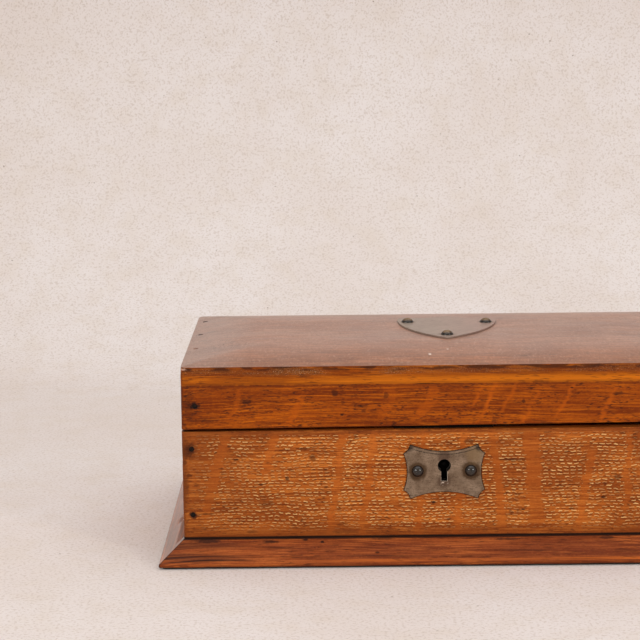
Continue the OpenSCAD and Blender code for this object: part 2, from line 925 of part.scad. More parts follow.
module lower_leaf(hx) {
    inner = hinge_l / 6 + knuckle_end_play;
    spans = [[-hinge_l / 2, -inner], [inner, hinge_l / 2]];
    color(brass)
        difference() {
            translate([hx, 0, 0]) leaf(body_top - leaf_t, spans, hinge_pin_d / 2);
            at_lower_screws(hx) screw_hole(hinge_screw_l);
        }
}

module upper_leaf(hx) {
    spans = [[-hinge_l / 6, hinge_l / 6]];
    color(brass)
        difference() {
            translate([hx, 0, 0]) leaf(hinge_z + knuckle_r - leaf_t, spans, hinge_pin_d / 2 + pin_play);
            at_upper_screws(hx) screw_hole(hinge_screw_l);
        }
}

module left_lower_leaf() {
    lower_leaf(-hinge_x);
}

module right_lower_leaf() {
    lower_leaf(hinge_x);
}

module left_upper_leaf() {
    upper_leaf(-hinge_x);
}

module right_upper_leaf() {
    upper_leaf(hinge_x);
}

module hinge_pin(hx) {
    color(brass) translate([hx - hinge_l / 2, hinge_y, hinge_z]) rotate([0, 90, 0])
        cylinder(d = hinge_pin_d, h = hinge_l);
}

module left_hinge_pin() {
    hinge_pin(-hinge_x);
}

module right_hinge_pin() {
    hinge_pin(hinge_x);
}

module lower_hinge_screws() {
    color(brass) for (hx = [-hinge_x, hinge_x])
        at_lower_screws(hx) screw(hinge_screw_l);
}

module upper_hinge_screws() {
    color(brass) for (hx = [-hinge_x, hinge_x])
        at_upper_screws(hx) screw(hinge_screw_l);
}

// Crown of the top board along one span, as an outline over the joint line
module crown_outline(half) {
    height = lid_edge_t + crown_rise;
    margin = [for (i = [0:crown_steps]) half - crown_margin * i / crown_steps];
    rise = [for (u = margin) [u, height - crown_drop(u, half)]];
    fall = [for (i = [crown_steps:-1:0]) [-margin[i], rise[i].y]];
    polygon(concat([[-half, 0], [half, 0]], rise, fall));
}

module lid_top_board() {
    color(oak)
        difference() {
            intersection() {
                box_block(joint_z, crown_z + eps);
                along_x(-side_x - eps, side_x + eps) translate([0, joint_z]) crown_outline(face_y);
                along_y(-face_y - eps, face_y + eps) translate([0, joint_z]) crown_outline(side_x);
            }
            at_top_nails() nail_hole(top_nail_l);
            at_shield_pins() cylinder(d = shield_pin_d, h = 2 * shield_pin_l, center = true);
        }
}

// Space between the lid's worn lower edge and its top board, within the carcase's outline
module rail_space() {
    x = side_x + eps;
    intersection() {
        box_block(body_top, joint_z);
        along_y(-face_y - eps, face_y + eps)
            polygon([[-x, lid_under(-x)], [x, lid_under(x)], [x, joint_z], [-x, joint_z]]);
    }
}

module lid_front_rail() {
    color(oak)
        difference() {
            intersection() {
                rail_space();
                block([-side_x, -face_y, body_top], [side_x, -inner_y, joint_z]);
            }
            block([lock_x - link_w / 2 - link_play, link_y0 - link_play, body_top],
                [lock_x + link_w / 2 + link_play, link_y1 + link_play, link_top]);
            at_link_screws() screw_hole(lock_screw_l);
            at_lid_corner_nails() nail_hole(corner_nail_l);
        }
}

module lid_back_rail() {
    color(oak)
        difference() {
            intersection() {
                rail_space();
                block([-side_x, inner_y, body_top], [side_x, face_y, joint_z]);
            }
            back_bevel();
            for (hx = [-hinge_x, hinge_x]) {
                knuckle_room(hx);
                block([hx - hinge_l / 2, leaf_in, body_top], [hx + hinge_l / 2, hinge_y, hinge_z + knuckle_r]);
                at_upper_screws(hx) screw_hole(hinge_screw_l);
            }
            at_lid_corner_nails() nail_hole(corner_nail_l);
        }
}

// Side rail of the lid, side -1 for the left and 1 for the right
module lid_side_rail(side) {
    color(oak)
        difference() {
            intersection() {
                rail_space();
                translate([side * (side_x - board_t / 2), 0, (body_top + joint_z) / 2])
                    cube([board_t, 2 * inner_y, joint_z - body_top], center = true);
            }
            at_lid_corner_nails() nail_hole(corner_nail_l);
            at_top_nails() nail_hole(top_nail_l);
        }
}

module lid_left_rail() {
    lid_side_rail(-1);
}

module lid_right_rail() {
    lid_side_rail(1);
}

module lid_corner_nails() {
    color(iron) at_lid_corner_nails() nail(corner_nail_l);
}

module lid_top_nails() {
    color(iron) at_top_nails() nail(top_nail_l);
}

module link_plate() {
    color(steel)
        difference() {
            block([lock_x - link_w / 2, link_y0, link_bottom], [lock_x + link_w / 2, link_y1, link_top]);
            for (s = [-1, 1])
                staple_tenon(s);
            at_link_screws() screw_hole(lock_screw_l);
        }
}

// Tenon of a staple, riveted through the link plate
module staple_tenon(s) {
    x = lock_x + s * staple_pitch / 2;
    half = staple_w / 2 - tenon_in;
    block([x - staple_t / 2, works_y - half, link_bottom], [x + staple_t / 2, works_y + half, link_top]);
}

module link_staples() {
    hole_y = bolt_t / 2 + finger_side_play;
    hole_z = finger_h / 2 + finger_up_play;
    color(steel)
        for (s = [-1, 1]) {
            x = lock_x + s * staple_pitch / 2;
            staple_tenon(s);
            difference() {
                block([x - staple_t / 2, works_y - staple_w / 2, staple_end],
                    [x + staple_t / 2, works_y + staple_w / 2, link_bottom]);
                block([x - staple_t, works_y - hole_y, finger_z - hole_z],
                    [x + staple_t, works_y + hole_y, finger_z + hole_z]);
            }
        }
}

module link_screws() {
    color(steel) at_link_screws() screw(lock_screw_l);
}

// Back edge of the shield: shoulders with round lobes, and a peak between two hollows
module shield_back() {
    lobe_x = shield_w / 2 - shield_lobe_r;
    lobe_y = shield_shoulder - shield_lobe_r;
    fall = [shield_hollow_x, -shield_peak];
    translate([-shield_w / 2 - eps, shield_point_y - eps])
        square([shield_w + 2 * eps, lobe_y - shield_point_y + eps]);
    translate([-lobe_x, lobe_y - eps]) square([2 * lobe_x, shield_lobe_r + eps]);
    for (s = [-1, 1])
        translate([s * lobe_x, lobe_y]) circle(shield_lobe_r);
    difference() {
        translate([0, shield_shoulder - eps])
            polygon([[-shield_hollow_x, 0], [shield_hollow_x, 0], [shield_hollow_x, eps],
                [0, shield_peak + eps], [-shield_hollow_x, eps]]);
        for (s = [0, 1])
            mirror([s, 0]) translate([shield_hollow_x / 2, shield_shoulder + shield_peak / 2])
                rotate(atan2(fall.y, fall.x)) waist(norm(fall) / 2, shield_hollow);
    }
}

module shield_outline() {
    flank_x = shield_flank_r - shield_w / 2;
    flank_y = shield_point_y + sqrt(shield_flank_r * shield_flank_r - flank_x * flank_x);
    intersection() {
        shield_back();
        flank_disc(flank_x, flank_y, -1);
        flank_disc(flank_x, flank_y, 1);
    }
}

module flank_disc(x, y, s) {
    translate([s * x, y]) circle(shield_flank_r, $fn = wide_fn);
}

module shield_plate() {
    color(steel)
        difference() {
            at_shield() linear_extrude(shield_t) shield_outline();
            at_shield_pins() cylinder(d = shield_pin_d, h = 2 * shield_pin_l, center = true);
        }
}

module shield_pins() {
    color(iron)
        at_shield_pins() dome_pin(shield_pin_head_d, shield_pin_h, shield_pin_d, shield_pin_l);
}

front_board();
back_board();
left_side();
right_side();
bottom_board();
plinth_front();
plinth_back();
plinth_left();
plinth_right();
base_baize();
corner_nails();
bottom_nails();
plinth_brads();
lock_plate();
lock_cap();
lock_rivets();
lock_studs();
drill_pin();
lock_bolt();
detent_spring();
lock_screws();
keyhole_plate();
keyhole_plate_pins();
left_lower_leaf();
right_lower_leaf();
left_hinge_pin();
right_hinge_pin();
lower_hinge_screws();
lid_top_board();
lid_front_rail();
lid_back_rail();
lid_left_rail();
lid_right_rail();
lid_corner_nails();
lid_top_nails();
left_upper_leaf();
right_upper_leaf();
upper_hinge_screws();
link_plate();
link_staples();
link_screws();
shield_plate();
shield_pins();
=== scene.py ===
"""Looks of the oak desk letter box, in metres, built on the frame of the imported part."""

import json
import math

import bmesh
import bpy
import numpy as np
from mathutils import Matrix, Vector, noise

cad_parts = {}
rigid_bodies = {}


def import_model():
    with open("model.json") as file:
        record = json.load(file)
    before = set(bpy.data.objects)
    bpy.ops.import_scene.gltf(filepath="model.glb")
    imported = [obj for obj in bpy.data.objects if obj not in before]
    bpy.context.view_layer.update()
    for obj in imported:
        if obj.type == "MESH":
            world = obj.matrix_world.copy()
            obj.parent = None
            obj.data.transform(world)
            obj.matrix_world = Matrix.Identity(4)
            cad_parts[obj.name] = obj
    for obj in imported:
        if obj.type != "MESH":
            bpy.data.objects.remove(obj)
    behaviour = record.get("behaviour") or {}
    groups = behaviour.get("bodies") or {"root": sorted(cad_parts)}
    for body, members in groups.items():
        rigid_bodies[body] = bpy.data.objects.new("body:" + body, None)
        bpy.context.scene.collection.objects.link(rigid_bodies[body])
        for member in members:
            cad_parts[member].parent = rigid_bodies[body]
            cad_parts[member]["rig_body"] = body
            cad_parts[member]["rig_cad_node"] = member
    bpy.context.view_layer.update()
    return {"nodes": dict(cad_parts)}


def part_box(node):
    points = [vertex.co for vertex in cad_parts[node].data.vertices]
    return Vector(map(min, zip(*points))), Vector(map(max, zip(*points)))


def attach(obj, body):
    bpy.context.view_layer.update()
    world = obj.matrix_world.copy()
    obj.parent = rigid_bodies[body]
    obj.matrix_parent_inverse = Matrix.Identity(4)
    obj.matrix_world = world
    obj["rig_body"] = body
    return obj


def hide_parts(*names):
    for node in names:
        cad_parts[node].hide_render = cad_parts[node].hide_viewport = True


MM = 0.001
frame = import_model()
nodes = frame["nodes"]


def srgb(red, green, blue):
    """A colour picked on screen, 0 to 255 a channel, as the linear colour that a shader takes."""
    scaled = [c / 255 for c in (red, green, blue)]
    return tuple(c / 12.92 if c <= 0.04045 else ((c + 0.055) / 1.055) ** 2.4 for c in scaled)


# Places and sizes read from the frame

carcase_low, carcase_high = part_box("front_board")
lid_low, lid_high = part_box("lid_top_board")
END_X = carcase_high.x
FACE_Y = -carcase_low.y
INNER_Y = -carcase_high.y
INNER_X = -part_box("left_side")[1].x
BODY_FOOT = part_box("plinth_front")[1].z
LID_JOINT = lid_low.z
drill_low, drill_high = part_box("drill_pin")
KEY_HEAD = ((drill_low.x + drill_high.x) / 2, (drill_low.z + drill_high.z) / 2)
KEY_FOOT = (KEY_HEAD[0], KEY_HEAD[1] - 7 * MM)


class Paint:
    """One material. Each call adds nodes. A value is a number, colour or vector, or a node's output."""

    def __init__(self, name):
        self.material = bpy.data.materials.new(name)
        self.material.use_nodes = True
        self.tree = self.material.node_tree
        self.shader = self.tree.nodes["Principled BSDF"]
        source = self.node("ShaderNodeTexCoord")
        self.place = source.outputs["Object"]
        self.x, self.y, self.z = self.split(self.place)
        self.facing = self.split(source.outputs["Normal"])

    def node(self, kind, **settings):
        made = self.tree.nodes.new(kind)
        for key, value in settings.items():
            setattr(made, key, value)
        return made

    def feed(self, socket, value):
        if isinstance(value, bpy.types.NodeSocket):
            self.tree.links.new(value, socket)
        elif socket.type == "RGBA":
            socket.default_value = (*value, 1.0)
        else:
            socket.default_value = value

    def split(self, vector):
        made = self.node("ShaderNodeSeparateXYZ")
        self.feed(made.inputs[0], vector)
        return made.outputs[0], made.outputs[1], made.outputs[2]

    def join(self, x, y, z):
        made = self.node("ShaderNodeCombineXYZ")
        for socket, value in zip(made.inputs, (x, y, z)):
            self.feed(socket, value)
        return made.outputs[0]

    def math(self, operation, a, b=0.0):
        made = self.node("ShaderNodeMath", operation=operation)
        for socket, value in zip(made.inputs, (a, b)):
            self.feed(socket, value)
        return made.outputs[0]

    def add(self, a, b):
        return self.math("ADD", a, b)

    def take(self, a, b):
        return self.math("SUBTRACT", a, b)

    def times(self, a, b):
        return self.math("MULTIPLY", a, b)

    def over(self, a, b):
        return self.math("DIVIDE", a, b)

    def most(self, a, b):
        return self.math("MAXIMUM", a, b)

    def least(self, a, b):
        return self.math("MINIMUM", a, b)

    def amount(self, a):
        return self.math("ABSOLUTE", a)

    def away(self, a, b):
        return self.amount(self.take(a, b))

    def fade(self, value, start, end, low=0.0, high=1.0):
        """low where value is at start, high where it is at end, smooth between them."""
        made = self.node("ShaderNodeMapRange", interpolation_type="SMOOTHSTEP")
        swapped = start > end
        limits = (end, start, high, low) if swapped else (start, end, low, high)
        for socket, number in zip(made.inputs, (value, *limits)):
            self.feed(socket, number)
        return made.outputs[0]

    def noise(self, at, scale, detail=2.0, roughness=0.5):
        made = self.node("ShaderNodeTexNoise")
        self.feed(made.inputs["Vector"], at)
        self.feed(made.inputs["Scale"], scale)
        self.feed(made.inputs["Detail"], detail)
        self.feed(made.inputs["Roughness"], roughness)
        return made.outputs["Fac"]

    def spread(self, width, at, scale, detail=2.0, roughness=0.5):
        """Noise about 0, at most half the width to each side."""
        return self.times(self.take(self.noise(at, scale, detail, roughness), 0.5), width)

    def ragged(self, width):
        """Fine noise about 0 that makes the edge of a mark uneven."""
        return self.spread(width, self.place, 420.0, 3.0, 0.6)

    def cells(self, at, scale):
        """Distance to the nearest point of a scattered set."""
        made = self.node("ShaderNodeTexVoronoi")
        self.feed(made.inputs["Vector"], at)
        self.feed(made.inputs["Scale"], scale)
        return made.outputs["Distance"]

    def chance(self, x, y, seed):
        """A random number from 0 to 1 for each whole x and y."""
        made = self.node("ShaderNodeTexWhiteNoise", noise_dimensions="3D")
        self.feed(made.inputs["Vector"], self.join(x, y, seed))
        return made.outputs["Value"]

    def mix(self, share, a, b):
        made = self.node("ShaderNodeMix", data_type="RGBA")
        self.feed(made.inputs[0], share)
        self.feed(made.inputs[6], a)
        self.feed(made.inputs[7], b)
        return made.outputs[2]

    def distance(self, points, x, y):
        """Distance from (x, y) to the nearest of the points."""
        nearest = 1.0
        for point in points:
            across = self.math("POWER", self.away(x, point[0]), 2.0)
            upward = self.math("POWER", self.away(y, point[1]), 2.0)
            nearest = self.least(nearest, self.math("SQRT", self.add(across, upward)))
        return nearest

    def edge_distance(self, low, high):
        """Distance from a point on a board to the board's nearest edge."""
        gaps = [self.least(self.take(p, a), self.take(b, p))
                for p, a, b in zip((self.x, self.y, self.z), low, high)]
        a, b, c = gaps
        return self.most(self.least(a, b), self.least(self.most(a, b), c))

    def done(self, colour, roughness, height=None, depth=0.1 * MM, metallic=0.0, coat=None, shine=0.5):
        shader = self.shader.inputs
        self.feed(shader["Base Color"], colour)
        self.feed(shader["Roughness"], roughness)
        shader["Metallic"].default_value = metallic
        if coat:
            shader["Coat Weight"].default_value = coat[0]
            shader["Coat Roughness"].default_value = coat[1]
        shader["Specular IOR Level"].default_value = shine
        if height is not None:
            bump = self.node("ShaderNodeBump")
            bump.inputs["Strength"].default_value = 1.0
            bump.inputs["Distance"].default_value = depth
            self.feed(bump.inputs["Height"], height)
            self.feed(shader["Normal"], bump.outputs["Normal"])
        return self.material


# Oak. A board's grain runs along X or Y, and its end grain comes from the same solid pattern.

DARK_LINE = srgb(42, 18, 9)
# Near-black tone of the painted shade where pieces meet
CONTACT_SHADE_TONE = srgb(16, 7, 4)
PORE_TONE = srgb(66, 28, 10)
GOLD = srgb(236, 188, 122)
DASH_ROW = 1.84 * MM
DASH_STEP = 3.9 * MM
DASH_HALF = 1.4 * MM
DASH_THICK = 0.21 * MM
BAND_FADE = 0.06


class Oak(Paint):
    """Oak for one board. Marks are laid over the plain grain one after the other."""

    def __init__(self, name, node, grain, tones, seed):
        super().__init__(name)
        self.low, self.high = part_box(node)
        self.dark, self.middle, self.light = tones
        self.seed = seed
        self.along, self.aside = (self.x, self.y) if grain == "x" else (self.y, self.x)
        self.up = self.z
        self.broad = self.fade(self.amount(self.facing[1 if grain == "x" else 0]), 0.6, 0.9)
        self.bend = self.spread(9 * MM, self.join(self.times(self.along, 0.25), self.aside, self.up), 26.0)
        self.cloud = self.join(self.times(self.along, 0.45), self.add(self.aside, seed), self.up)
        growth = self.noise(self.fibre(0.06), 210.0, 3.0, 0.6)
        thread = self.noise(self.fibre(0.022), 1500.0, 2.0, 0.6)
        self.patch = self.noise(self.cloud, 34.0, 3.0, 0.55)
        self.colour = self.mix(self.fade(growth, 0.36, 0.62), self.dark, self.middle)
        self.lay(self.fade(thread, 0.46, 0.66), self.light)
        self.lay(self.fade(thread, 0.46, 0.3, 0.0, 0.6), self.dark)
        self.lay(self.fade(self.patch, 0.56, 0.36, 0.0, 0.6), self.dark)
        grit = self.noise(self.fibre(0.45, 0.9), 1500.0, 3.0, 0.7)
        self.lay(self.fade(grit, 0.52, 0.66, 0.0, 0.4), self.dark)
        self.lay(self.fade(grit, 0.46, 0.32, 0.0, 0.3), self.light)
        self.height = self.times(thread, 0.25)
        self.plain = 0.0

    def fibre(self, stretch, shift=0.0):
        """Coordinates drawn out along the grain: the smaller the stretch, the longer the marks."""
        across = self.add(self.add(self.aside, self.bend), self.seed + shift)
        return self.join(self.times(self.along, stretch), across, self.add(self.up, self.bend))

    def lay(self, share, colour):
        self.colour = self.mix(share, self.colour, colour)

    def press(self, share, depth):
        self.height = self.take(self.height, self.times(share, depth))

    def pores(self, strength, stretch=0.2, fine=1450.0):
        """Short dark flecks along the grain, in loose clusters."""
        fleck = self.fade(self.noise(self.fibre(stretch, 0.3), fine, 1.0), 0.57, 0.68)
        cluster = self.fade(self.noise(self.cloud, 110.0), 0.35, 0.62, 0.25, 1.0)
        fleck = self.times(self.times(fleck, cluster), self.take(1.0, self.times(self.plain, 0.5)))
        self.lay(self.times(fleck, strength), PORE_TONE)
        self.press(fleck, 0.6)

    def lines(self, strength, where=1.0):
        """Long dark lines of open grain."""
        line = self.fade(self.noise(self.fibre(0.012, 0.6), 640.0, 2.0, 0.65), 0.55, 0.68)
        line = self.times(self.times(line, where), self.fade(self.noise(self.cloud, 60.0), 0.3, 0.58))
        self.lay(self.times(line, strength), DARK_LINE)
        self.press(line, 0.8)

    def bands(self, table, tone, strength=0.36, uneven=8 * MM):
        """Plain, leaning stretches of ray. Each row of the table gives its place at the board's foot and at
        its top, its width and strength, and the shares of the board's height where it starts and ends."""
        foot_z = max(self.low.z, BODY_FOOT)
        share = self.over(self.take(self.up, foot_z), self.high.z - foot_z)
        sway = self.spread(6 * MM, self.join(self.times(self.along, 9.0), share, self.seed), 4.0)
        fray = self.spread(uneven, self.join(self.times(self.along, 0.5), self.up, self.seed), 640.0)
        place = self.add(self.along, self.add(sway, fray))
        for foot, top, width, depth, start, end in table:
            gap = self.away(place, self.add(foot * MM, self.times(share, (top - foot) * MM)))
            band = self.fade(gap, (width / 2 + 0.9) * MM, (width / 2 - 1.1) * MM, 0.0, depth)
            band = self.times(band, self.fade(share, start - BAND_FADE, start + BAND_FADE))
            band = self.times(band, self.fade(share, end + BAND_FADE, end - BAND_FADE))
            self.plain = self.most(self.plain, band)
        self.plain = self.times(self.plain, self.broad)
        fullness = self.fade(self.noise(self.cloud, 75.0, 3.0), 0.35, 0.6, 0.45, 1.0)
        self.lay(self.times(self.times(self.plain, fullness), strength), tone)

    def dashes(self, strength):
        """Rows of short pale dashes where the saw cut the rays, brightened as painted glints, each with a
        painted shadow line under it.
        """
        flat = self.join(self.along, self.up, self.seed)
        sway = self.spread(4.2 * MM, flat, 42.0)
        ripple = self.spread(1.3 * MM, flat, 480.0, 1.0)
        level = self.over(self.add(self.up, self.add(sway, ripple)), DASH_ROW)
        row = self.math("FLOOR", level)
        shift = self.times(self.chance(row, 0.0, self.seed), DASH_STEP * 7)
        run = self.over(self.add(self.along, shift), DASH_STEP)
        column = self.math("FLOOR", run)
        size = self.chance(column, row, self.seed + 1.0)
        shine = self.chance(column, row, self.seed + 2.0)
        tilt = self.times(self.take(self.chance(column, row, self.seed + 3.0), 0.5), 0.5)
        across = self.take(self.math("FRACT", run), self.add(0.44, self.times(shine, 0.12)))
        level_in = self.add(self.take(self.math("FRACT", level), 0.52), self.times(across, tilt))
        half = self.times(DASH_HALF, self.add(0.66, self.times(size, 0.5)))
        reach = self.take(self.times(self.amount(across), DASH_STEP), half)
        ends = self.fade(reach, 0.24 * MM, -0.24 * MM)
        bright = self.fade(self.times(self.amount(level_in), DASH_ROW), DASH_THICK + 0.14 * MM,
                           DASH_THICK - 0.12 * MM)
        # Painted shadow: a dark line under each dash
        below = self.fade(self.times(self.away(level_in, -0.34), DASH_ROW), 0.42 * MM, 0.12 * MM)
        rayed = self.times(self.broad, self.take(1.0, self.fade(self.plain, 0.2, 0.7)))
        there = self.times(self.fade(size, 0.06, 0.16), rayed)
        side = self.fade(self.amount(self.along), END_X - 4 * MM, END_X - 19 * MM, 0.12, 1.0)
        rim = self.least(self.fade(self.up, self.high.z - 1.5 * MM, self.high.z - 4 * MM),
                         self.fade(self.up, BODY_FOOT + 3 * MM, BODY_FOOT + 8 * MM))
        there = self.times(there, self.times(side, rim))
        fullness = self.fade(self.noise(flat, 60.0, 3.0), 0.34, 0.52, 0.55, 1.0)
        glint = self.times(fullness, self.add(0.4, self.times(shine, 0.7)))
        shown = self.times(self.times(self.times(ends, bright), there), glint)
        dark = self.times(self.times(ends, below), there)
        self.lay(self.times(dark, 0.5 * strength), PORE_TONE)
        self.lay(self.times(shown, strength), GOLD)
        self.height = self.add(self.height, self.times(shown, 0.2))

    def specks(self, strength, spacing=95.0):
        """Small scattered pits."""
        at = self.join(self.times(self.along, 0.5), self.add(self.aside, self.seed), self.up)
        group = self.fade(self.noise(self.cloud, 40.0), 0.45, 0.58)
        pit = self.times(self.fade(self.cells(at, spacing), 0.09, 0.045), group)
        self.lay(self.times(pit, strength), DARK_LINE)
        self.press(pit, 1.5)

    def stains(self, table, tone=DARK_LINE, flat=False):
        """Blotches: place along X and up (or back, on a flat board), half width, half height, strength."""
        level = self.y if flat else self.z
        fray = self.ragged(1.6)
        for a, b, half_a, half_b, strength in table:
            wide = self.over(self.take(self.x, a * MM), half_a * MM)
            high = self.over(self.take(level, b * MM), half_b * MM)
            span = self.math("SQRT", self.add(self.times(wide, wide), self.times(high, high)))
            self.lay(self.fade(self.add(span, fray), 1.1, 0.4, 0.0, strength), tone)

    def grime(self, strength, width=1.0):
        """Dirt along the board's edges and worn spots on them."""
        rim = self.edge_distance(self.low, self.high)
        uneven = self.times(self.noise(self.cloud, 120.0), 3.2 * MM * width)
        dirt = self.fade(self.add(rim, uneven), 5.2 * MM * width, 1.4 * MM)
        self.lay(self.times(dirt, strength), self.mix(0.55, self.dark, DARK_LINE))
        rubbed = self.fade(self.noise(self.place, 260.0, 3.0), 0.5, 0.66)
        worn = self.times(self.fade(rim, 0.7 * MM, 0.25 * MM), rubbed)
        self.lay(self.times(worn, 0.4), self.light)

    def painted_contact_shade(self, reach):
        """Painted shade: dark lines, from ambient occlusion, where another piece lies closer by than the
        reach.
        """
        near = self.node("ShaderNodeAmbientOcclusion", samples=6)
        near.inputs["Distance"].default_value = reach
        self.lay(self.fade(near.outputs["AO"], 0.8, 0.3, 0.0, 0.92), CONTACT_SHADE_TONE)

    def bare_inside(self):
        """Dry, unpolished wood on the faces that look into the box."""
        inner = self.least(self.fade(self.amount(self.x), INNER_X + 0.6 * MM, INNER_X + 0.3 * MM),
                           self.fade(self.amount(self.y), INNER_Y + 0.6 * MM, INNER_Y + 0.3 * MM))
        inner = self.times(inner, self.fade(self.z, lid_high.z - 6 * MM, lid_high.z - 9 * MM))
        self.colour = self.mix(inner, self.colour, self.mix(0.62, self.colour, srgb(170, 124, 78)))

    def finish(self, gloss=0.42, shine=0.12, coat=None, reach=2.2 * MM):
        # Painted shade where another piece lies close
        self.painted_contact_shade(reach)
        rough = self.add(gloss, self.spread(0.16, self.cloud, 120.0, 3.0))
        return self.done(self.colour, rough, self.height, 0.12 * MM, coat=coat, shine=shine)


BODY_TONES = (srgb(134, 62, 15), srgb(174, 90, 28), srgb(204, 118, 45))
RAIL_TONES = (srgb(114, 44, 1), srgb(158, 72, 3), srgb(188, 94, 6))
EDGE_TONES = (srgb(114, 46, 2), srgb(150, 70, 3), srgb(184, 96, 8))
# The lid top's tones are paler and greyer than the other woods': in part painted reflection of the backdrop
TOP_TONES = (srgb(124, 72, 42), srgb(158, 98, 62), srgb(186, 120, 80))
PLINTH_TONES = (srgb(110, 46, 16), srgb(150, 72, 28), srgb(178, 94, 40))
PINE_TONES = (srgb(150, 106, 66), srgb(182, 138, 92), srgb(200, 160, 112))
BAND_TONE = srgb(192, 96, 28)
RAIL_BAND_TONE = srgb(198, 92, 6)

# Plain bands: foot, top and width in millimetres, strength, start and end as shares of the height
FRONT_BANDS = [(-143.3, -127.6, 6.0, 1.0, 0.2, 1.1), (-112.6, -99, 5.2, 1.0, 0.6, 1.1),
               (-106, -100, 8, 0.5, -0.1, 0.2), (-69.5, -59.4, 4.4, 1.0, -0.1, 1.1),
               (-50.8, -43, 4.0, 0.9, -0.1, 1.1), (-18.5, -14.5, 4, 0.9, -0.1, 1.1),
               (4, 8, 4.2, 0.85, -0.1, 1.1), (31, 24, 4.8, 1.0, -0.1, 1.1), (50, 47, 9, 0.9, 0.1, 1.1),
               (74, 83, 4.6, 0.9, -0.1, 0.8), (99, 104, 3.6, 0.8, 0.2, 1.1), (118, 129, 5.4, 1.0, -0.1, 1.1),
               (138, 143, 4, 0.7, 0.3, 1.1)]
BACK_BANDS = [(-140, -132, 5, 0.9, -0.1, 1.1), (-112, -118, 4, 0.7, 0.2, 1.1), (-82, -71, 6, 1.0, -0.1, 0.8),
              (-39, -44, 4, 0.8, -0.1, 1.1), (-6, 3, 5, 0.9, 0.1, 1.1), (32, 38, 4, 0.7, -0.1, 0.7),
              (66, 60, 6, 1.0, -0.1, 1.1), (94, 104, 4, 0.8, 0.3, 1.1), (128, 124, 5, 0.8, -0.1, 1.1)]
SIDE_BANDS = [(-64, -55, 5, 0.9, -0.1, 1.1), (-36, -40, 4, 0.7, 0.2, 1.1), (-8, 2, 6, 1.0, -0.1, 0.8),
              (28, 25, 4, 0.8, -0.1, 1.1), (52, 61, 5, 0.9, 0.1, 1.1)]
RAIL_BANDS = [(-93, -80, 4.5, 0.7, 0.1, 0.8), (-40, -32, 7, 0.45, 0.2, 0.9), (-20, -6, 7, 0.45, 0.1, 0.9),
              (8, 20, 1.8, 0.8, 0.45, 1.1), (15, 27, 2.4, 0.95, 0.1, 1.1), (24, 39, 2.2, 0.9, 0.3, 1.1),
              (40, 54, 2.4, 0.7, -0.1, 0.8), (58, 71, 2.2, 0.8, 0.2, 1.1), (84, 97, 3, 0.7, -0.1, 0.9),
              (112, 124, 2.2, 0.8, 0.1, 1.1), (-126, -118, 3, 0.4, 0.2, 0.9)]

# Marks: place along and up (back on the lid's top), half width and half height in millimetres, strength
FRONT_STAINS = [(-149.5, 66.5, 6, 6.5, 0.7), (-147.6, 67.0, 3.2, 2.9, 1.0), (-146.5, 28.4, 3.3, 2.5, 1.0),
                (-139, 28.9, 8, 0.5, 0.8), (-151, 45, 2.5, 14, 0.4), (-78, 61.5, 2.6, 2.2, 0.6),
                (-92.9, 49.4, 1.2, 1.7, 0.7), (-105, 34.4, 5, 2.6, 0.35), (11.3, 70, 3.5, 1.8, 0.5),
                (36.7, 59, 9, 0.9, 0.55), (-9.3, 34.5, 1.7, 0.9, 0.85), (-9.6, 30.4, 2.2, 0.8, 0.5),
                (-0.3, 24.4, 1.6, 0.8, 0.6), (35.4, 28, 2, 2, 0.3), (-114, 18, 4, 1.0, 0.5),
                (-60, 17.5, 9, 1.6, 0.4),
                (-125.8, 68.4, 1.4, 0.6, 0.7), (-121.6, 60.7, 2.3, 0.6, 0.7), (-130.4, 55.6, 1.9, 0.7, 0.6),
                (-103.3, 58.6, 2.5, 0.5, 0.6), (-83.4, 66.5, 2.8, 1.3, 0.4), (-71, 54.2, 1.6, 0.5, 0.8),
                (-151, 59.3, 2, 1.8, 0.6), (-148.6, 51.4, 2.2, 1.4, 0.6), (147.2, 67.1, 4, 3.4, 0.8),
                (146.8, 28.5, 3, 2.4, 0.8), (96, 48, 3, 2, 0.5), (70, 30, 2, 1, 0.5)]
RAIL_STAINS = [(-144.8, 91.9, 4.0, 2.5, 1.0), (-115, 94.2, 4, 1.3, 0.75), (-138, 84, 8, 2, 0.35),
               (-148, 90, 5, 12, 0.35), (-65, 99, 3, 2.2, 0.6), (-36, 97, 1.8, 2.6, 0.55),
               (-50, 91, 5, 1.2, 0.5), (42, 93, 1.6, 1.4, 0.7), (96, 97, 4, 1.4, 0.6), (130, 88, 3, 1.2, 0.6)]
PLINTH_STAINS = [(-138.5, 13.2, 9, 1.0, 0.8), (-103, 12.6, 5.5, 0.8, 0.8), (-82.8, 13.4, 2, 0.6, 0.9),
                 (-73, 12.4, 1.4, 0.6, 1.0), (-38, 13.6, 8, 0.7, 0.6), (34, 12.8, 13, 0.6, 0.7),
                 (90, 12.9, 6, 0.7, 0.7)]
LID_STAINS = [(-145.8, 62.6, 3.6, 3.2, 0.9), (-148.0, 13.8, 2.6, 3.0, 0.9), (-140.5, 17.5, 5.0, 2.6, 0.8),
              (-143.5, -10, 5.5, 2.0, 0.5), (-137, -40, 1.2, 2.2, 0.45), (-134, -44, 1.4, 1.8, 0.35),
              (-131, -36, 1.8, 2.6, 0.3), (-126, -41, 1.2, 1.6, 0.3), (45.3, 60.7, 1.6, 1.6, 0.75),
              (-42, 38, 14, 3, 0.16), (-60, 12, 18, 2.4, 0.14), (60, 10, 22, 3, 0.14), (110, 50, 16, 4, 0.16),
              (-27, 41, 3.5, 5, 0.3), (41, 39, 3.5, 5, 0.25)]


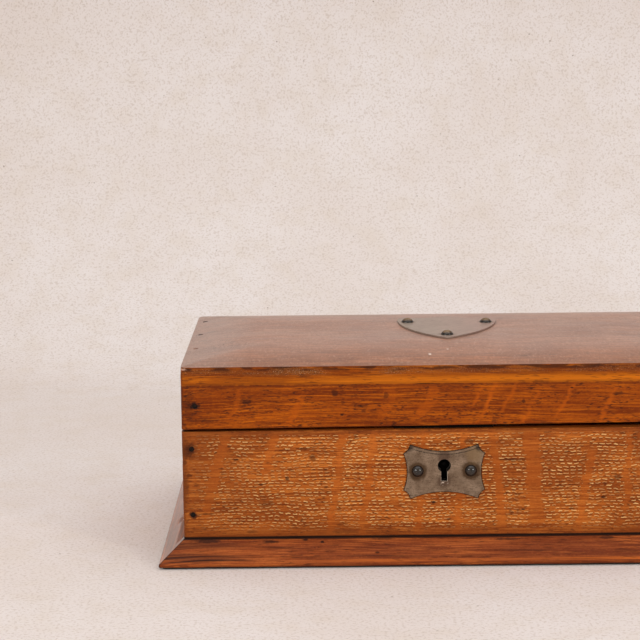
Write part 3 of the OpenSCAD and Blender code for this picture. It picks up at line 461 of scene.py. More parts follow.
def body_board(name, node, grain, bands, seed, marks=()):
    """A board of the carcase, with bands and dashes where the saw cut the rays, a painted shadow line along
    its foot and, on the front board, painted shade in the keyhole.
    """
    wood = Oak(name, node, grain, BODY_TONES, seed)
    wood.bands(bands, BAND_TONE)
    wood.pores(0.7)
    wood.dashes(0.9 if node == "front_board" else 0.6)
    wood.specks(0.8)
    wood.stains(marks)
    wood.grime(0.6)
    if node == "front_board":
        # Painted shade: near-black wood where the keyhole opens through the front board
        keyhole_shade = wood.distance([KEY_HEAD, KEY_FOOT], wood.x, wood.z)
        wood.lay(wood.fade(keyhole_shade, 6 * MM, 4.8 * MM), srgb(4, 3, 2))
        old_dirt = wood.mix(0.4, wood.dark, DARK_LINE)
        wood.lay(wood.fade(wood.x, -80 * MM, -150 * MM, 0.0, 0.3), old_dirt)
        wood.lay(wood.fade(wood.z, BODY_FOOT + 9 * MM, BODY_FOOT + 1 * MM, 0.0, 0.5), old_dirt)
    # Painted shadow: a near-black line along the foot, where the board stands on the plinth
    foot_shadow_line = wood.add(wood.z, wood.times(wood.noise(wood.cloud, 90.0), 0.5 * MM))
    wood.lay(wood.fade(foot_shadow_line, BODY_FOOT + 1.75 * MM, BODY_FOOT + 0.95 * MM, 0.0, 0.97), srgb(12, 5, 3))
    wood.bare_inside()
    return wood.finish(0.5)


def rail(name, node, grain, bands, seed, marks=()):
    """A board of the lid's sides."""
    wood = Oak(name, node, grain, RAIL_TONES, seed)
    wood.bands(bands, RAIL_BAND_TONE, 0.7, 1.4 * MM)
    wood.pores(0.85)
    wood.pores(0.6, 0.25, 1100.0)
    wood.specks(0.9, 130.0)
    wood.stains(marks)
    wood.grime(0.5, 0.6)
    wood.bare_inside()
    return wood.finish(0.48, reach=1.0 * MM)


def plinth(name, node, grain, seed, painted_sheen=0.0, marks=()):
    """A sloping moulding of the plinth, with open grain, dark mitre joints, a painted highlight line near its
    foot, a painted shadow line along its top and, on the end mouldings, a pale grey-pink painted sheen.
    """
    wood = Oak(name, node, grain, PLINTH_TONES, seed)
    # Painted highlight: a bright orange line along the toe of the moulding
    glow = wood.fade(wood.away(wood.z, 4.0 * MM), 0.9 * MM, 0.3 * MM)
    streak = wood.fade(wood.noise(wood.fibre(0.05), 90.0), 0.4, 0.6, 0.1, 0.6)
    wood.lay(wood.times(glow, streak), srgb(204, 104, 32))
    where = wood.fade(wood.x, -40 * MM, -125 * MM, 0.6, 1.0)
    wood.lines(0.95, where)
    old_dirt = wood.fade(wood.x, -100 * MM, -135 * MM, 0.0, 0.5)
    wood.lay(wood.times(old_dirt, wood.fade(wood.noise(wood.fibre(0.05, 0.8), 200.0), 0.45, 0.6)), DARK_LINE)
    wood.pores(0.7, 0.1, 1500.0)
    wood.specks(0.8)
    wood.stains(marks)
    wood.grime(0.3, 0.5)
    past_end = wood.take(wood.amount(wood.x), END_X)
    past_face = wood.take(wood.amount(wood.y), FACE_Y)
    mitre = wood.away(past_end, past_face)
    wood.lay(wood.fade(mitre, 0.5 * MM, 0.2 * MM, 0.0, 0.7), DARK_LINE)
    # Painted shadow: a near-black line along the top edge, where the body stands on the moulding
    wood.lay(wood.fade(wood.z, wood.high.z - 0.9 * MM, wood.high.z - 0.2 * MM, 0.0, 0.85), srgb(14, 6, 3))
    # Painted reflection: a pale grey-pink sheen of the bright backdrop on the end mouldings
    if painted_sheen:
        sheen_haze = wood.fade(wood.noise(wood.cloud, 60.0, 3.0), 0.3, 0.7, painted_sheen * 0.85, painted_sheen)
        wood.lay(sheen_haze, srgb(176, 148, 132))
    return wood.finish(0.42, 0.4 if painted_sheen else 0.12, (0.6, 0.26) if painted_sheen else None)


def lid_edge():
    """The edges of the lid's top board, worn along the top, and its bare underside."""
    wood = Oak("oak_lid_edge", "lid_top_board", "x", EDGE_TONES, 43.5)
    joint = wood.low.z
    glow = wood.fade(wood.z, joint + 6.5 * MM, joint + 2 * MM)
    streak = wood.fade(wood.noise(wood.fibre(0.05), 90.0), 0.35, 0.6, 0.2, 0.8)
    wood.lay(wood.times(glow, streak), srgb(216, 118, 14))
    wood.pores(0.6, 0.12)
    upper = wood.fade(wood.z, joint + 4.5 * MM, joint + 7.5 * MM)
    blotch = wood.noise(wood.join(wood.times(wood.x, 0.4), wood.y, wood.z), 48.0, 3.0)
    worn = wood.times(upper, wood.fade(blotch, 0.38, 0.54))
    left_end = wood.fade(wood.x, -120 * MM, -108 * MM, 0.35, 1.0)
    right_end = wood.fade(wood.x, -22 * MM, -34 * MM, 0.35, 1.0)
    worn = wood.times(worn, wood.times(left_end, right_end))
    wood.lay(wood.times(worn, 0.75), srgb(106, 68, 36))
    pale_spots = wood.fade(wood.noise(wood.place, 1900.0, 1.0), 0.6, 0.68)
    wood.lay(wood.times(worn, pale_spots), srgb(206, 164, 122))
    dark_spots = wood.fade(wood.noise(wood.place, 1500.0, 1.0), 0.56, 0.66)
    wood.lay(wood.times(wood.times(worn, dark_spots), 0.8), srgb(48, 24, 12))
    wood.specks(0.9, 150.0)
    # A pale spot at the worn front-left corner: bare wood and a painted highlight
    wood.stains([(-150.4, 113.3, 2.0, 0.8, 1.0)], srgb(230, 184, 158))
    wood.grime(0.35, 0.5)
    crest = wood.fade(wood.z, joint + 7.0 * MM, joint + 9.0 * MM)
    fleck = wood.fade(wood.noise(wood.fibre(0.2, 0.4), 420.0, 3.0), 0.44, 0.58, 0.0, 0.7)
    wood.lay(wood.times(crest, fleck), DARK_LINE)
    wood.bare_inside()
    return wood.finish(0.42, reach=0.9 * MM)


PIT_PLACES = [(-137 * MM, -40 * MM), (-129 * MM, -34 * MM), (-122 * MM, -38 * MM)]


def lid_top():
    """The top face of the lid, under old polish, with a grey-pink painted reflection of the bright backdrop
    over it.
    """
    wood = Oak("oak_lid_top", "lid_top_board", "x", TOP_TONES, 43.5)
    wood.pores(0.6, 0.12)
    wood.specks(0.5, 70.0)
    wood.stains(LID_STAINS, srgb(60, 30, 20), flat=True)
    # Painted reflection: grey-pink over the top, weaker towards the front
    painted_reflection = wood.fade(wood.noise(wood.cloud, 26.0, 3.0), 0.3, 0.7, 0.2, 0.4)
    painted_reflection = wood.times(painted_reflection, wood.fade(wood.y, -86 * MM, -50 * MM, 0.2, 1.0))
    wood.lay(painted_reflection, srgb(172, 146, 136))
    # Painted reflection: greyer towards the left end, where the top slopes down
    wood.lay(wood.fade(wood.x, -108 * MM, -140 * MM, 0.0, 0.4), srgb(158, 138, 128))
    wood.stains([(-10, -71, 1.0, 1.6, 1.0), (1, -61, 0.8, 1.2, 0.8)], srgb(240, 226, 214), flat=True)
    pitted = wood.distance(PIT_PLACES, wood.x, wood.y)
    pits = wood.fade(wood.noise(wood.join(wood.x, wood.times(wood.y, 0.4), wood.z), 900.0, 2.0), 0.56, 0.64)
    wood.lay(wood.times(wood.fade(pitted, 9 * MM, 3 * MM, 0.0, 0.8), pits), srgb(74, 42, 30))
    speckle = wood.noise(wood.join(wood.x, wood.times(wood.y, 0.35), wood.z), 700.0, 3.0, 0.7)
    wood.lay(wood.fade(speckle, 0.52, 0.68, 0.0, 0.34), srgb(96, 62, 44))
    wood.lay(wood.fade(speckle, 0.46, 0.3, 0.0, 0.3), srgb(206, 174, 154))
    return wood.finish(0.34, 0.36, (0.12, 0.3))


def bottom():
    """The thin, unpolished board under the box."""
    wood = Oak("pine_bottom_face", "bottom_board", "x", PINE_TONES, 23.0)
    wood.pores(0.3)
    wood.lines(0.3)
    wood.grime(0.3)
    return wood.finish(0.65)


materials = {
    "front_board": body_board("oak_front_face", "front_board", "x", FRONT_BANDS, 3.1, FRONT_STAINS),
    "back_board": body_board("oak_back_face", "back_board", "x", BACK_BANDS, 7.7),
    "left_side": body_board("oak_left_side", "left_side", "y", SIDE_BANDS, 11.3),
    "right_side": body_board("oak_right_side", "right_side", "y", SIDE_BANDS, 17.9),
    "bottom_board": bottom(),
    "plinth_front": plinth("oak_plinth_front", "plinth_front", "x", 29.5, marks=PLINTH_STAINS),
    "plinth_back": plinth("oak_plinth_back", "plinth_back", "x", 31.5),
    "plinth_left": plinth("oak_plinth_left", "plinth_left", "y", 37.5, 0.26),
    "plinth_right": plinth("oak_plinth_right", "plinth_right", "y", 41.5, 0.2),
    "lid_top_board": lid_edge(),
    "lid_front_rail": rail("oak_lid_front", "lid_front_rail", "x", RAIL_BANDS, 47.5, RAIL_STAINS),
    "lid_back_rail": rail("oak_lid_back", "lid_back_rail", "x", RAIL_BANDS, 53.5),
    "lid_left_rail": rail("oak_lid_left", "lid_left_rail", "y", SIDE_BANDS, 59.5),
    "lid_right_rail": rail("oak_lid_right", "lid_right_rail", "y", SIDE_BANDS, 61.5),
}
LID_TOP = lid_top()


# Metals and baize

SAME_POINT = 1e-6


def centres(node):
    """Middle of each separate solid in a CAD node, from its mesh, sorted by place."""
    grid = bmesh.new()
    grid.from_mesh(nodes[node].data)
    bmesh.ops.remove_doubles(grid, verts=grid.verts, dist=SAME_POINT)
    left = set(grid.verts)
    found = []
    while left:
        stack = [left.pop()]
        members = []
        while stack:
            vertex = stack.pop()
            members.append(vertex.co.copy())
            for edge in vertex.link_edges:
                other = edge.other_vert(vertex)
                if other in left:
                    left.remove(other)
                    stack.append(other)
        points = np.array(members)
        found.append(Vector((points.min(0) + points.max(0)) / 2))
    grid.free()
    return sorted(found, key=tuple)


def metal(name, tones, roughness, metallic, rust, rust_share, shine=0.5):
    """Old metal: mottled tones and fine dark specks, with rust in patches."""
    paint = Paint(name)
    dark, light = tones
    blotch = paint.noise(paint.place, 160.0, 4.0, 0.6)
    fine = paint.noise(paint.place, 1300.0, 3.0, 0.65)
    colour = paint.mix(paint.fade(blotch, 0.32, 0.68), dark, light)
    colour = paint.mix(paint.fade(fine, 0.6, 0.78, 0.0, 0.45), colour, dark)
    patch = paint.fade(paint.noise(paint.place, 240.0, 4.0, 0.6), 0.5, 0.66)
    colour = paint.mix(paint.times(patch, rust_share), colour, rust)
    rough = paint.add(roughness, paint.times(paint.take(fine, 0.5), 0.2))
    bumps = paint.add(paint.times(fine, 0.5), paint.times(blotch, 0.5))
    return paint.done(colour, rough, paint.times(bumps, 0.4), 0.05 * MM, metallic, shine=shine)


# How far the keyhole plate's top edge dips, and how far in from the plate's ends the dip begins
PLATE_DIP = 4.1 * MM
PLATE_DIP_IN = 3.8 * MM


def keyhole_steel():
    """Grey-brown plate: rust halos round its pins, brown at the keyhole, a dark line along its top edge."""
    paint = Paint("keyhole_plate_steel")
    low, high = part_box("keyhole_plate")
    pins = [(c.x, c.z) for c in centres("keyhole_plate_pins")]
    ragged = paint.ragged(3.0 * MM)
    blotch = paint.noise(paint.place, 130.0, 4.0, 0.6)
    fine = paint.noise(paint.place, 1500.0, 3.0, 0.6)
    brushed = paint.noise(paint.join(paint.times(paint.x, 0.08), paint.y, paint.z), 2400.0, 2.0)
    colour = paint.mix(paint.fade(blotch, 0.3, 0.7), srgb(108, 86, 66), srgb(152, 128, 106))
    colour = paint.mix(paint.fade(brushed, 0.4, 0.7, 0.0, 0.35), colour, srgb(84, 66, 50))
    colour = paint.mix(paint.fade(fine, 0.5, 0.7, 0.0, 0.7), colour, srgb(78, 60, 44))
    halo = paint.add(paint.distance(pins, paint.x, paint.z), ragged)
    colour = paint.mix(paint.fade(halo, 6.4 * MM, 4.2 * MM, 0.0, 0.9), colour, srgb(70, 46, 22))
    ends = [(KEY_HEAD[0], KEY_HEAD[1] + 5.4 * MM), (KEY_FOOT[0], KEY_FOOT[1] - 2 * MM)]
    brown = paint.add(paint.distance(ends, paint.x, paint.z), ragged)
    colour = paint.mix(paint.fade(brown, 4.8 * MM, 2.0 * MM, 0.0, 0.75), colour, srgb(78, 54, 40))
    below = paint.add(paint.distance([(KEY_FOOT[0], KEY_FOOT[1] - 2.8 * MM)], paint.x, paint.z), ragged)
    chipped = paint.fade(paint.noise(paint.place, 900.0), 0.5, 0.6)
    bare = paint.times(paint.fade(below, 2.8 * MM, 1.2 * MM), chipped)
    colour = paint.mix(bare, colour, srgb(196, 178, 160))
    golden = paint.add(paint.distance([(high.x - 6 * MM, high.z - 6 * MM)], paint.x, paint.z), ragged)
    colour = paint.mix(paint.fade(golden, 7.0 * MM, 2.5 * MM, 0.0, 0.6), colour, srgb(136, 108, 74))
    tips = [(x, high.z - 1.5 * MM) for x in (low.x + 3 * MM, high.x - 3 * MM)]
    corner = paint.add(paint.distance(tips, paint.x, paint.z), ragged)
    colour = paint.mix(paint.fade(corner, 3.4 * MM, 1.2 * MM, 0.0, 0.75), colour, srgb(44, 34, 28))
    half = (high.x - low.x) / 2 - PLATE_DIP_IN
    arc_r = (half * half + PLATE_DIP * PLATE_DIP) / (2 * PLATE_DIP)
    arc = paint.distance([((low.x + high.x) / 2, high.z - PLATE_DIP + arc_r)], paint.x, paint.z)
    groove = paint.fade(paint.away(paint.take(arc, arc_r), 1.8 * MM), 0.42 * MM, 0.16 * MM)
    groove = paint.times(groove, paint.fade(fine, 0.35, 0.55, 0.35, 1.0))
    colour = paint.mix(paint.times(groove, 0.8), colour, srgb(40, 30, 24))
    rough = paint.add(0.46, paint.times(paint.take(fine, 0.5), 0.2))
    height = paint.add(paint.times(fine, 0.4), paint.times(blotch, 1.2))
    return paint.done(colour, rough, height, 0.07 * MM, 0.35, shine=0.3)


def shield_steel():
    """Paler pinkish plate, greyer towards its left, with faint scratches and brown round its pins."""
    paint = Paint("shield_plate_steel")
    low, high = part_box("shield_plate")
    blotch = paint.noise(paint.place, 95.0, 4.0, 0.55)
    fine = paint.noise(paint.join(paint.times(paint.x, 0.2), paint.y, paint.z), 1400.0, 3.0, 0.6)
    side = paint.fade(paint.x, low.x, high.x)
    colour = paint.mix(side, srgb(162, 148, 134), srgb(174, 144, 132))
    colour = paint.mix(paint.fade(blotch, 0.4, 0.66, 0.0, 0.5), colour, srgb(152, 130, 118))
    colour = paint.mix(paint.fade(fine, 0.5, 0.7, 0.0, 0.5), colour, srgb(116, 98, 88))
    pins = [(c.x, c.y) for c in centres("shield_pins")]
    ragged = paint.ragged(2.4 * MM)
    halo = paint.add(paint.distance(pins, paint.x, paint.y), ragged)
    colour = paint.mix(paint.fade(halo, 6.4 * MM, 3.6 * MM, 0.0, 0.7), colour, srgb(112, 84, 58))
    rough = paint.add(0.4, paint.times(paint.take(fine, 0.5), 0.2))
    return paint.done(colour, rough, paint.add(paint.times(fine, 0.3), blotch), 0.06 * MM, 0.45)


def rim_steel(name, axis, start, end, bright):
    """Bevelled rim of a plate: a painted highlight where it faces outwards along the axis, painted shade
    where it turns aside.
    """
    paint = Paint(name)
    spot = paint.noise(paint.place, 700.0, 3.0, 0.6)
    square = paint.amount(paint.facing[axis])
    pale = paint.mix(paint.fade(spot, 0.45, 0.6), bright, srgb(92, 74, 60))
    # Painted shade where the rim turns aside, painted highlight where it faces out
    colour = paint.mix(paint.fade(square, start, end), srgb(14, 9, 7), pale)
    return paint.done(colour, 0.6, spot, 0.05 * MM, shine=0.15)


def round_pin(name, dark, light, turned):
    """Smooth, lacquered pin head, with painted shade where it turns away from the axis it stands on."""
    paint = Paint(name)
    spot = paint.noise(paint.place, 900.0, 3.0, 0.6)
    colour = paint.mix(paint.fade(spot, 0.4, 0.6), dark, light)
    square = paint.amount(paint.facing[turned])
    # Painted shade: near-black where the head turns aside
    colour = paint.mix(paint.fade(square, 0.5, 0.9), srgb(24, 16, 10), colour)
    return paint.done(colour, 0.21, shine=0.6)


def nail_iron(name, hidden_y=None):
    """Dark, rusty iron. Heads in front of hidden_y are filled in and take the wood's colour."""
    paint = Paint(name)
    spot = paint.noise(paint.place, 900.0, 3.0, 0.6)
    colour = paint.mix(paint.fade(spot, 0.4, 0.62), srgb(12, 8, 6), srgb(38, 22, 14))
    if hidden_y is not None:
        colour = paint.mix(paint.fade(paint.y, hidden_y + 5 * MM, hidden_y), colour, srgb(132, 96, 78))
    return paint.done(colour, 0.7, spot, 0.08 * MM, shine=0.15)


def felt():
    """Dark baize under the box."""
    paint = Paint("baize_felt")
    fuzz = paint.noise(paint.place, 2200.0, 4.0, 0.7)
    colour = paint.mix(paint.fade(fuzz, 0.35, 0.7), srgb(16, 18, 14), srgb(34, 38, 30))
    made = paint.done(colour, 0.95, fuzz, 0.3 * MM)
    paint.shader.inputs["Sheen Weight"].default_value = 0.35
    paint.shader.inputs["Sheen Roughness"].default_value = 0.6
    return made


IRON = nail_iron("nail_iron_dark")
TOP_IRON = nail_iron("nail_iron_top", -20 * MM)
FILLED_BRAD = metal("brad_under_wax", (srgb(128, 60, 26), srgb(152, 76, 34)), 0.6, 0.0, srgb(104, 46, 20),
                    0.4, shine=0.12)
# Golden-brown heads: painted reflection of the bright backdrop on their tops
PIN_IRON = round_pin("shield_pin_iron", srgb(92, 66, 38), srgb(134, 104, 66), 2)
PLATE_PIN = round_pin("plate_pin_iron", srgb(22, 16, 10), srgb(42, 32, 22), 1)
# Painted shade: near-black steel for the lock and link plates in the gap under the lid, and for the drill pin
# in the keyhole
GAP_SHADE_STEEL = metal("lock_steel_dark", (srgb(14, 10, 8), srgb(30, 23, 18)), 0.7, 0.0, srgb(34, 20, 12),
                   0.5, shine=0.1)
CAP_STEEL = metal("lock_cap_steel", (srgb(54, 47, 40), srgb(90, 81, 70)), 0.5, 0.6, srgb(62, 38, 22), 0.5)
LOCK_STEEL = metal("lock_steel_worn", (srgb(96, 88, 80), srgb(140, 132, 122)), 0.42, 0.85,
                   srgb(92, 58, 36), 0.45)
BRASS = metal("hinge_brass_aged", (srgb(112, 84, 38), srgb(168, 132, 66)), 0.38, 0.9, srgb(78, 62, 34), 0.6)
# The plates' rims, with painted highlight and shade
KEY_RIM = rim_steel("keyhole_plate_rim", 1, 0.94, 0.99, srgb(176, 160, 144))
SHIELD_RIM = rim_steel("shield_plate_rim", 2, 0.3, 0.5, srgb(222, 208, 198))

finishes = {
    "keyhole_plate": keyhole_steel(),
    "shield_plate": shield_steel(),
    "base_baize": felt(),
    "keyhole_plate_pins": PLATE_PIN,
    "shield_pins": PIN_IRON,
    "corner_nails": IRON,
    "bottom_nails": IRON,
    "plinth_brads": FILLED_BRAD,
    "lock_plate": GAP_SHADE_STEEL,
    "lock_cap": CAP_STEEL,
    "drill_pin": GAP_SHADE_STEEL,
    "link_plate": GAP_SHADE_STEEL,
    "lid_corner_nails": IRON,
    "lid_top_nails": TOP_IRON,
}
for name in nodes:
    if name in materials or name in finishes:
        continue
    brass = name.startswith(("left_", "right_", "lower_hinge", "upper_hinge", "lock_bolt"))
    finishes[name] = BRASS if brass else LOCK_STEEL


# Boards with worn edges stand for their CAD boards

WEAR_STEP = 4 * MM
WEAR_REACH = 2.2 * MM
DENT = 0.35 * MM
SHARP = math.radians(32)
FLAT = math.radians(0.2)
WELD_GAP = 0.002 * MM
CUT_GAP = 0.01 * MM
FACES_UP = 0.6
JOINT_ROUND = 0.3
MITRE_ROUND = 0.15


def round_share(name, edge):
    """How round an edge is: only a little where two boards of the lid or the plinth meet."""
    middle = (edge.verts[0].co + edge.verts[1].co) / 2
    if name.startswith("lid"):
        return JOINT_ROUND if abs(middle.z - LID_JOINT) < 0.1 * MM else 1.0
    if name.startswith("plinth"):
        off_mitre = abs(abs(middle.x) - END_X - abs(middle.y) + FACE_Y)
        return MITRE_ROUND if off_mitre < 0.2 * MM else 1.0
    return 1.0


def worn_board(name, round_r, wear, chips):
    """A copy of a CAD board with round edges, dents along them and chips, which stands for the board."""
    source = nodes[name]
    work = source.copy()
    work.data = source.data.copy()
    bpy.context.scene.collection.objects.link(work)
    weld = work.modifiers.new("weld", "WELD")
    weld.merge_threshold = WELD_GAP
    mesh = evaluated(work)
    grid = bmesh.new()
    grid.from_mesh(mesh)
    bmesh.ops.dissolve_limit(grid, angle_limit=FLAT, verts=grid.verts, edges=grid.edges)
    low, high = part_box(name)
    for axis in range(3):
        count = int((high[axis] - low[axis]) / WEAR_STEP)
        for i in range(1, count):
            plane = Vector((0, 0, 0))
            normal = Vector((0, 0, 0))
            plane[axis] = low[axis] + (high[axis] - low[axis]) * i / count
            normal[axis] = 1
            geometry = grid.verts[:] + grid.edges[:] + grid.faces[:]
            bmesh.ops.bisect_plane(grid, geom=geometry, plane_co=plane, plane_no=normal, dist=CUT_GAP)
    weight = grid.edges.layers.float.new("bevel_weight_edge")
    for edge in grid.edges:
        if edge.calc_face_angle(0.0) > SHARP:
            edge[weight] = round_share(name, edge)
    grid.to_mesh(mesh)
    grid.free()
    work.modifiers.clear()
    work.data = mesh
    bevel = work.modifiers.new("bevel", "BEVEL")
    bevel.width = round_r
    bevel.segments = 3
    bevel.limit_method = "WEIGHT"
    bevel.use_clamp_overlap = True
    mesh = evaluated(work)
    work.modifiers.clear()
    work.data = mesh
    wear_vertices(mesh, low, high, wear, chips)
    for polygon in mesh.polygons:
        polygon.use_smooth = True
    mesh.set_sharp_from_angle(angle=SHARP)
    work.name = name + "_worn"
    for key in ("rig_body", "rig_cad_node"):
        if key in work:
            del work[key]
    work.parent = None
    mesh.materials.clear()
    mesh.materials.append(materials[name])
    if name == "lid_top_board":
        mesh.materials.append(LID_TOP)
        for polygon in mesh.polygons:
            if polygon.normal.z > FACES_UP:
                polygon.material_index = 1
    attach(work, source["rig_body"])
    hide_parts(name)


def evaluated(thing):
    """The object's mesh with its modifiers applied."""
    graph = bpy.context.evaluated_depsgraph_get()
    graph.update()
    return bpy.data.meshes.new_from_object(thing.evaluated_get(graph), depsgraph=graph)


def wear_vertices(mesh, low, high, wear, chips):
    """Draws vertices near a board's edges inwards by a smooth random amount, and more in each chip."""
    middle = (low + high) / 2
    for vertex in mesh.vertices:
        p = vertex.co
        gaps = sorted(min(p[a] - low[a], high[a] - p[a]) for a in range(3))
        edge = gaps[1]
        near = max(0.0, 1 - edge / WEAR_REACH)
        if near <= 0 and not chips:
            continue
        dent = max(0.0, noise.noise(p * 70) + 0.5 * noise.noise(p * 190)) * wear * near
        for centre, radius, depth in chips:
            gap = (p - Vector(centre) * MM).length / (radius * MM)
            if gap < 1:
                dent += depth * MM * (1 - gap * gap) ** 2
        if dent:
            inward = Vector((0, 0, 0))
            for a in range(3):
                reach = min(p[a] - low[a], high[a] - p[a])
                if reach < WEAR_REACH:
                    inward[a] = math.copysign(1, middle[a] - p[a])
            if inward.length:
                vertex.co = p + inward.normalized() * dent


# Radius of each board's edges, in millimetres
wood_edges = {
    "front_board": 0.5, "back_board": 0.5, "left_side": 0.3, "right_side": 0.3, "bottom_board": 0.3,
    "plinth_front": 0.35, "plinth_back": 0.35, "plinth_left": 0.35, "plinth_right": 0.35,
    "lid_front_rail": 0.45, "lid_back_rail": 0.45, "lid_left_rail": 0.3, "lid_right_rail": 0.3,
    "lid_top_board": 0.7,
}
# Middle, radius and depth of each chip, in millimetres
chips = {
    "lid_top_board": [((-151.5, -89.5, 114.0), 4.5, 0.9), ((151.5, -89.0, 114.0), 3.5, 0.6),
                      ((-151, 88.5, 114), 4, 0.6)],
    "plinth_front": [((-165, -103, 3), 4, 0.7)],
    "front_board": [((-152, -90, 60), 2.5, 0.5), ((-152, -90, 24), 2, 0.4)],
}
for name, round_mm in wood_edges.items():
    worn_board(name, round_mm * MM, DENT, chips.get(name, ()))


# The fittings and the baize keep their shape, with round edges, and the two outer plates get a rim

PLATE_ROUND = 0.9 * MM
FITTING_ROUND = 0.12 * MM
rims = {"keyhole_plate": KEY_RIM, "shield_plate": SHIELD_RIM}
for name, finish in finishes.items():
    thing = nodes[name]
    mesh = thing.data
    for i in range(len(mesh.materials)):
        mesh.materials[i] = finish
    weld = thing.modifiers.new("weld", "WELD")
    weld.merge_threshold = WELD_GAP
    bevel = thing.modifiers.new("bevel", "BEVEL")
    bevel.width = PLATE_ROUND if name in rims else FITTING_ROUND
    bevel.segments = 2
    bevel.limit_method = "ANGLE"
    bevel.angle_limit = SHARP
    if name in rims:
        mesh.materials.append(rims[name])
        bevel.material = len(mesh.materials) - 1


# The nails in the lid's top stand flush, and wax fills the holes over the plinth's brads

NAIL_RISE = 0.28 * MM
BRAD_L = 10 * MM
BRAD_R = 0.62 * MM
BRAD_SINK = 1.15 * MM

flush = nodes["lid_top_nails"].modifiers.new("flush", "DISPLACE")
flush.direction = "Z"
flush.mid_level = 0
flush.strength = NAIL_RISE


def wax_fillings():
    """The plinth's brads, each with a filling in front of its head that follows the slope."""
    source = nodes["plinth_brads"]
    low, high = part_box("plinth_front")
    slope = (FACE_Y + low.y) / (low.z - high.z)
    grid = bmesh.new()
    grid.from_mesh(source.data)
    for centre in centres("plinth_brads"):
        front = abs(abs(centre.y) - FACE_Y) < abs(abs(centre.x) - END_X)
        axis = 1 if front else 0
        outward = Vector((0, 0, 0))
        outward[axis] = math.copysign(1, centre[axis])
        tip = centre + outward * (BRAD_L + BRAD_SINK) / 2
        turn = outward.to_track_quat("Z", "Y").to_matrix().to_4x4()
        made = bmesh.ops.create_cone(grid, cap_ends=True, segments=16, radius1=BRAD_R, radius2=BRAD_R,
                                     depth=BRAD_SINK, matrix=Matrix.Translation(tip) @ turn)
        for vertex in made["verts"]:
            if (vertex.co - tip).dot(outward) > 0:
                vertex.co -= outward * (vertex.co.z - tip.z) * abs(slope)
    mesh = bpy.data.meshes.new("plinth_brads_waxed")
    grid.to_mesh(mesh)
    grid.free()
    mesh.materials.append(FILLED_BRAD)
    made = bpy.data.objects.new("plinth_brads_waxed", mesh)
    bpy.context.scene.collection.objects.link(made)
    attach(made, source["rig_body"])
    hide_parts("plinth_brads")


wax_fillings()


# Floor, backdrop, lights and camera, in metres

FLOOR_FRONT = -2.6
FLOOR_BACK = 0.75
BEND_R = 0.35
WALL_TOP = 2.2
STAGE_HALF = 2.6
BEND_STEPS = 16
LIGHT_TONE = (1.0, 0.985, 0.97)
PIN_LIGHT_TONE = (1.0, 0.98, 0.95)
WORLD_TONE = srgb(214, 210, 207)
WORLD_STRENGTH = 0.64


def plaster():
    """Warm off-white plaster, mottled, with a few small specks, and clear where it is seen from behind."""
    paint = Paint("stage_plaster")
    clear = paint.node("ShaderNodeBsdfTransparent")
    behind = paint.node("ShaderNodeNewGeometry").outputs["Backfacing"]
    either = paint.node("ShaderNodeMixShader")
    paint.feed(either.inputs[0], behind)
    paint.feed(either.inputs[1], paint.shader.outputs[0])
    paint.feed(either.inputs[2], clear.outputs[0])
    paint.feed(paint.tree.nodes["Material Output"].inputs["Surface"], either.outputs[0])
    cloud = paint.noise(paint.place, 5.0, 4.0, 0.6)
    mottle = paint.noise(paint.place, 38.0, 4.0, 0.65)
    grit = paint.noise(paint.place, 520.0, 2.0, 0.6)
    colour = paint.mix(paint.fade(cloud, 0.3, 0.7), srgb(225, 215, 210), srgb(231, 224, 222))
    colour = paint.mix(paint.fade(mottle, 0.42, 0.72, 0.0, 0.3), colour, srgb(216, 202, 186))
    colour = paint.mix(paint.fade(grit, 0.5, 0.66, 0.0, 0.5), colour, srgb(194, 178, 166))
    speck = paint.fade(paint.cells(paint.place, 55.0), 0.05, 0.03)
    speck = paint.times(speck, paint.fade(paint.noise(paint.place, 22.0), 0.45, 0.55))
    colour = paint.mix(paint.times(speck, 0.7), colour, srgb(132, 110, 94))
    return paint.done(colour, 0.85, paint.add(mottle, paint.times(grit, 0.3)), 0.5 * MM)


def backdrop():
    """Floor that bends up into the wall behind."""
    profile = [(FLOOR_FRONT, 0.0), (FLOOR_BACK - BEND_R, 0.0)]
    for i in range(1, BEND_STEPS + 1):
        angle = math.pi / 2 * i / BEND_STEPS
        profile.append((FLOOR_BACK - BEND_R + BEND_R * math.sin(angle), BEND_R - BEND_R * math.cos(angle)))
    profile.append((FLOOR_BACK, WALL_TOP))
    vertices = [(x, y, z) for y, z in profile for x in (-STAGE_HALF, STAGE_HALF)]
    faces = [(2 * i, 2 * i + 1, 2 * i + 3, 2 * i + 2) for i in range(len(profile) - 1)]
    mesh = bpy.data.meshes.new("backdrop")
    mesh.from_pydata(vertices, [], faces)
    mesh.polygons.foreach_set("use_smooth", [True] * len(mesh.polygons))
    mesh.materials.append(plaster())
    made = bpy.data.objects.new("backdrop", mesh)
    bpy.context.scene.collection.objects.link(made)


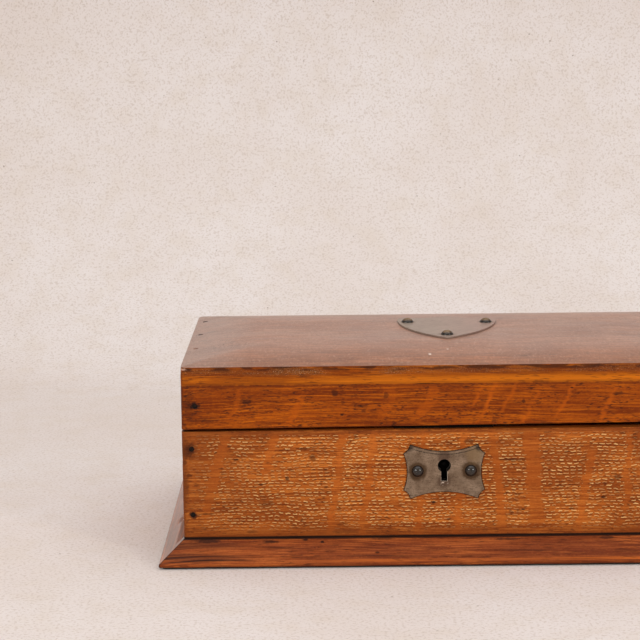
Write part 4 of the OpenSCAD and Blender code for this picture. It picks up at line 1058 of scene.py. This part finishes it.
def light(name, place, target, size, watts, colour=LIGHT_TONE):
    """A rectangular light that faces its target."""
    data = bpy.data.lights.new(name, "AREA")
    data.shape = "RECTANGLE"
    data.size, data.size_y = size
    data.energy = watts
    data.color = colour
    made = bpy.data.objects.new(name, data)
    made.location = place
    made.rotation_euler = (Vector(target) - Vector(place)).to_track_quat("-Z", "Y").to_euler()
    bpy.context.scene.collection.objects.link(made)


backdrop()
light("overhead", (0.1, -0.1, 1.9), (0.0, 0.1, 0.0), (2.4, 2.0), 18.4)
light("side_left", (-1.5, -1.3, 1.25), (0, 0.1, 0.05), (1.2, 1.2), 2)
light("side_right", (1.45, -1.2, 1.35), (0, 0.1, 0.05), (1.2, 1.2), 3.5)
light("pin_left", (-0.95, -1.35, 0.7), (0, 0, 0.06), (0.1, 0.1), 7, PIN_LIGHT_TONE)
light("pin_right", (1.1, -1.25, 0.55), (0, 0, 0.06), (0.12, 0.12), 5.5, PIN_LIGHT_TONE)

world = bpy.data.worlds.new("studio")
world.use_nodes = True
world.node_tree.nodes["Background"].inputs["Color"].default_value = (*WORLD_TONE, 1.0)
world.node_tree.nodes["Background"].inputs["Strength"].default_value = WORLD_STRENGTH
scene = bpy.context.scene
scene.world = world
scene.view_settings.view_transform = "Standard"

# The camera, fitted to the box's edges in the photo, with its angles in radians
CAMERA_PLACE = Vector((-73.986, -1128.11, 312.82)) * MM
CAMERA_DOWN = 0.16406
CAMERA_TURN = 0.00093
CAMERA_ROLL = -0.01063
LENS = 105.02
SENSOR_WIDTH = 36

level = math.cos(CAMERA_DOWN)
ahead = Vector((math.sin(CAMERA_TURN) * level, math.cos(CAMERA_TURN) * level, -math.sin(CAMERA_DOWN)))
right = Vector((math.cos(CAMERA_TURN), -math.sin(CAMERA_TURN), 0))
above = right.cross(ahead)
right_rolled = math.cos(CAMERA_ROLL) * right + math.sin(CAMERA_ROLL) * above
above_rolled = math.cos(CAMERA_ROLL) * above - math.sin(CAMERA_ROLL) * right
turned = Matrix((right_rolled, above_rolled, -ahead)).transposed()
lens = bpy.data.cameras.new("camera")
lens.sensor_width = SENSOR_WIDTH
lens.lens = LENS
lens.clip_start = 0.05
camera = bpy.data.objects.new("camera", lens)
camera.matrix_world = Matrix.Translation(CAMERA_PLACE) @ turned.to_4x4()
scene.collection.objects.link(camera)
scene.camera = camera
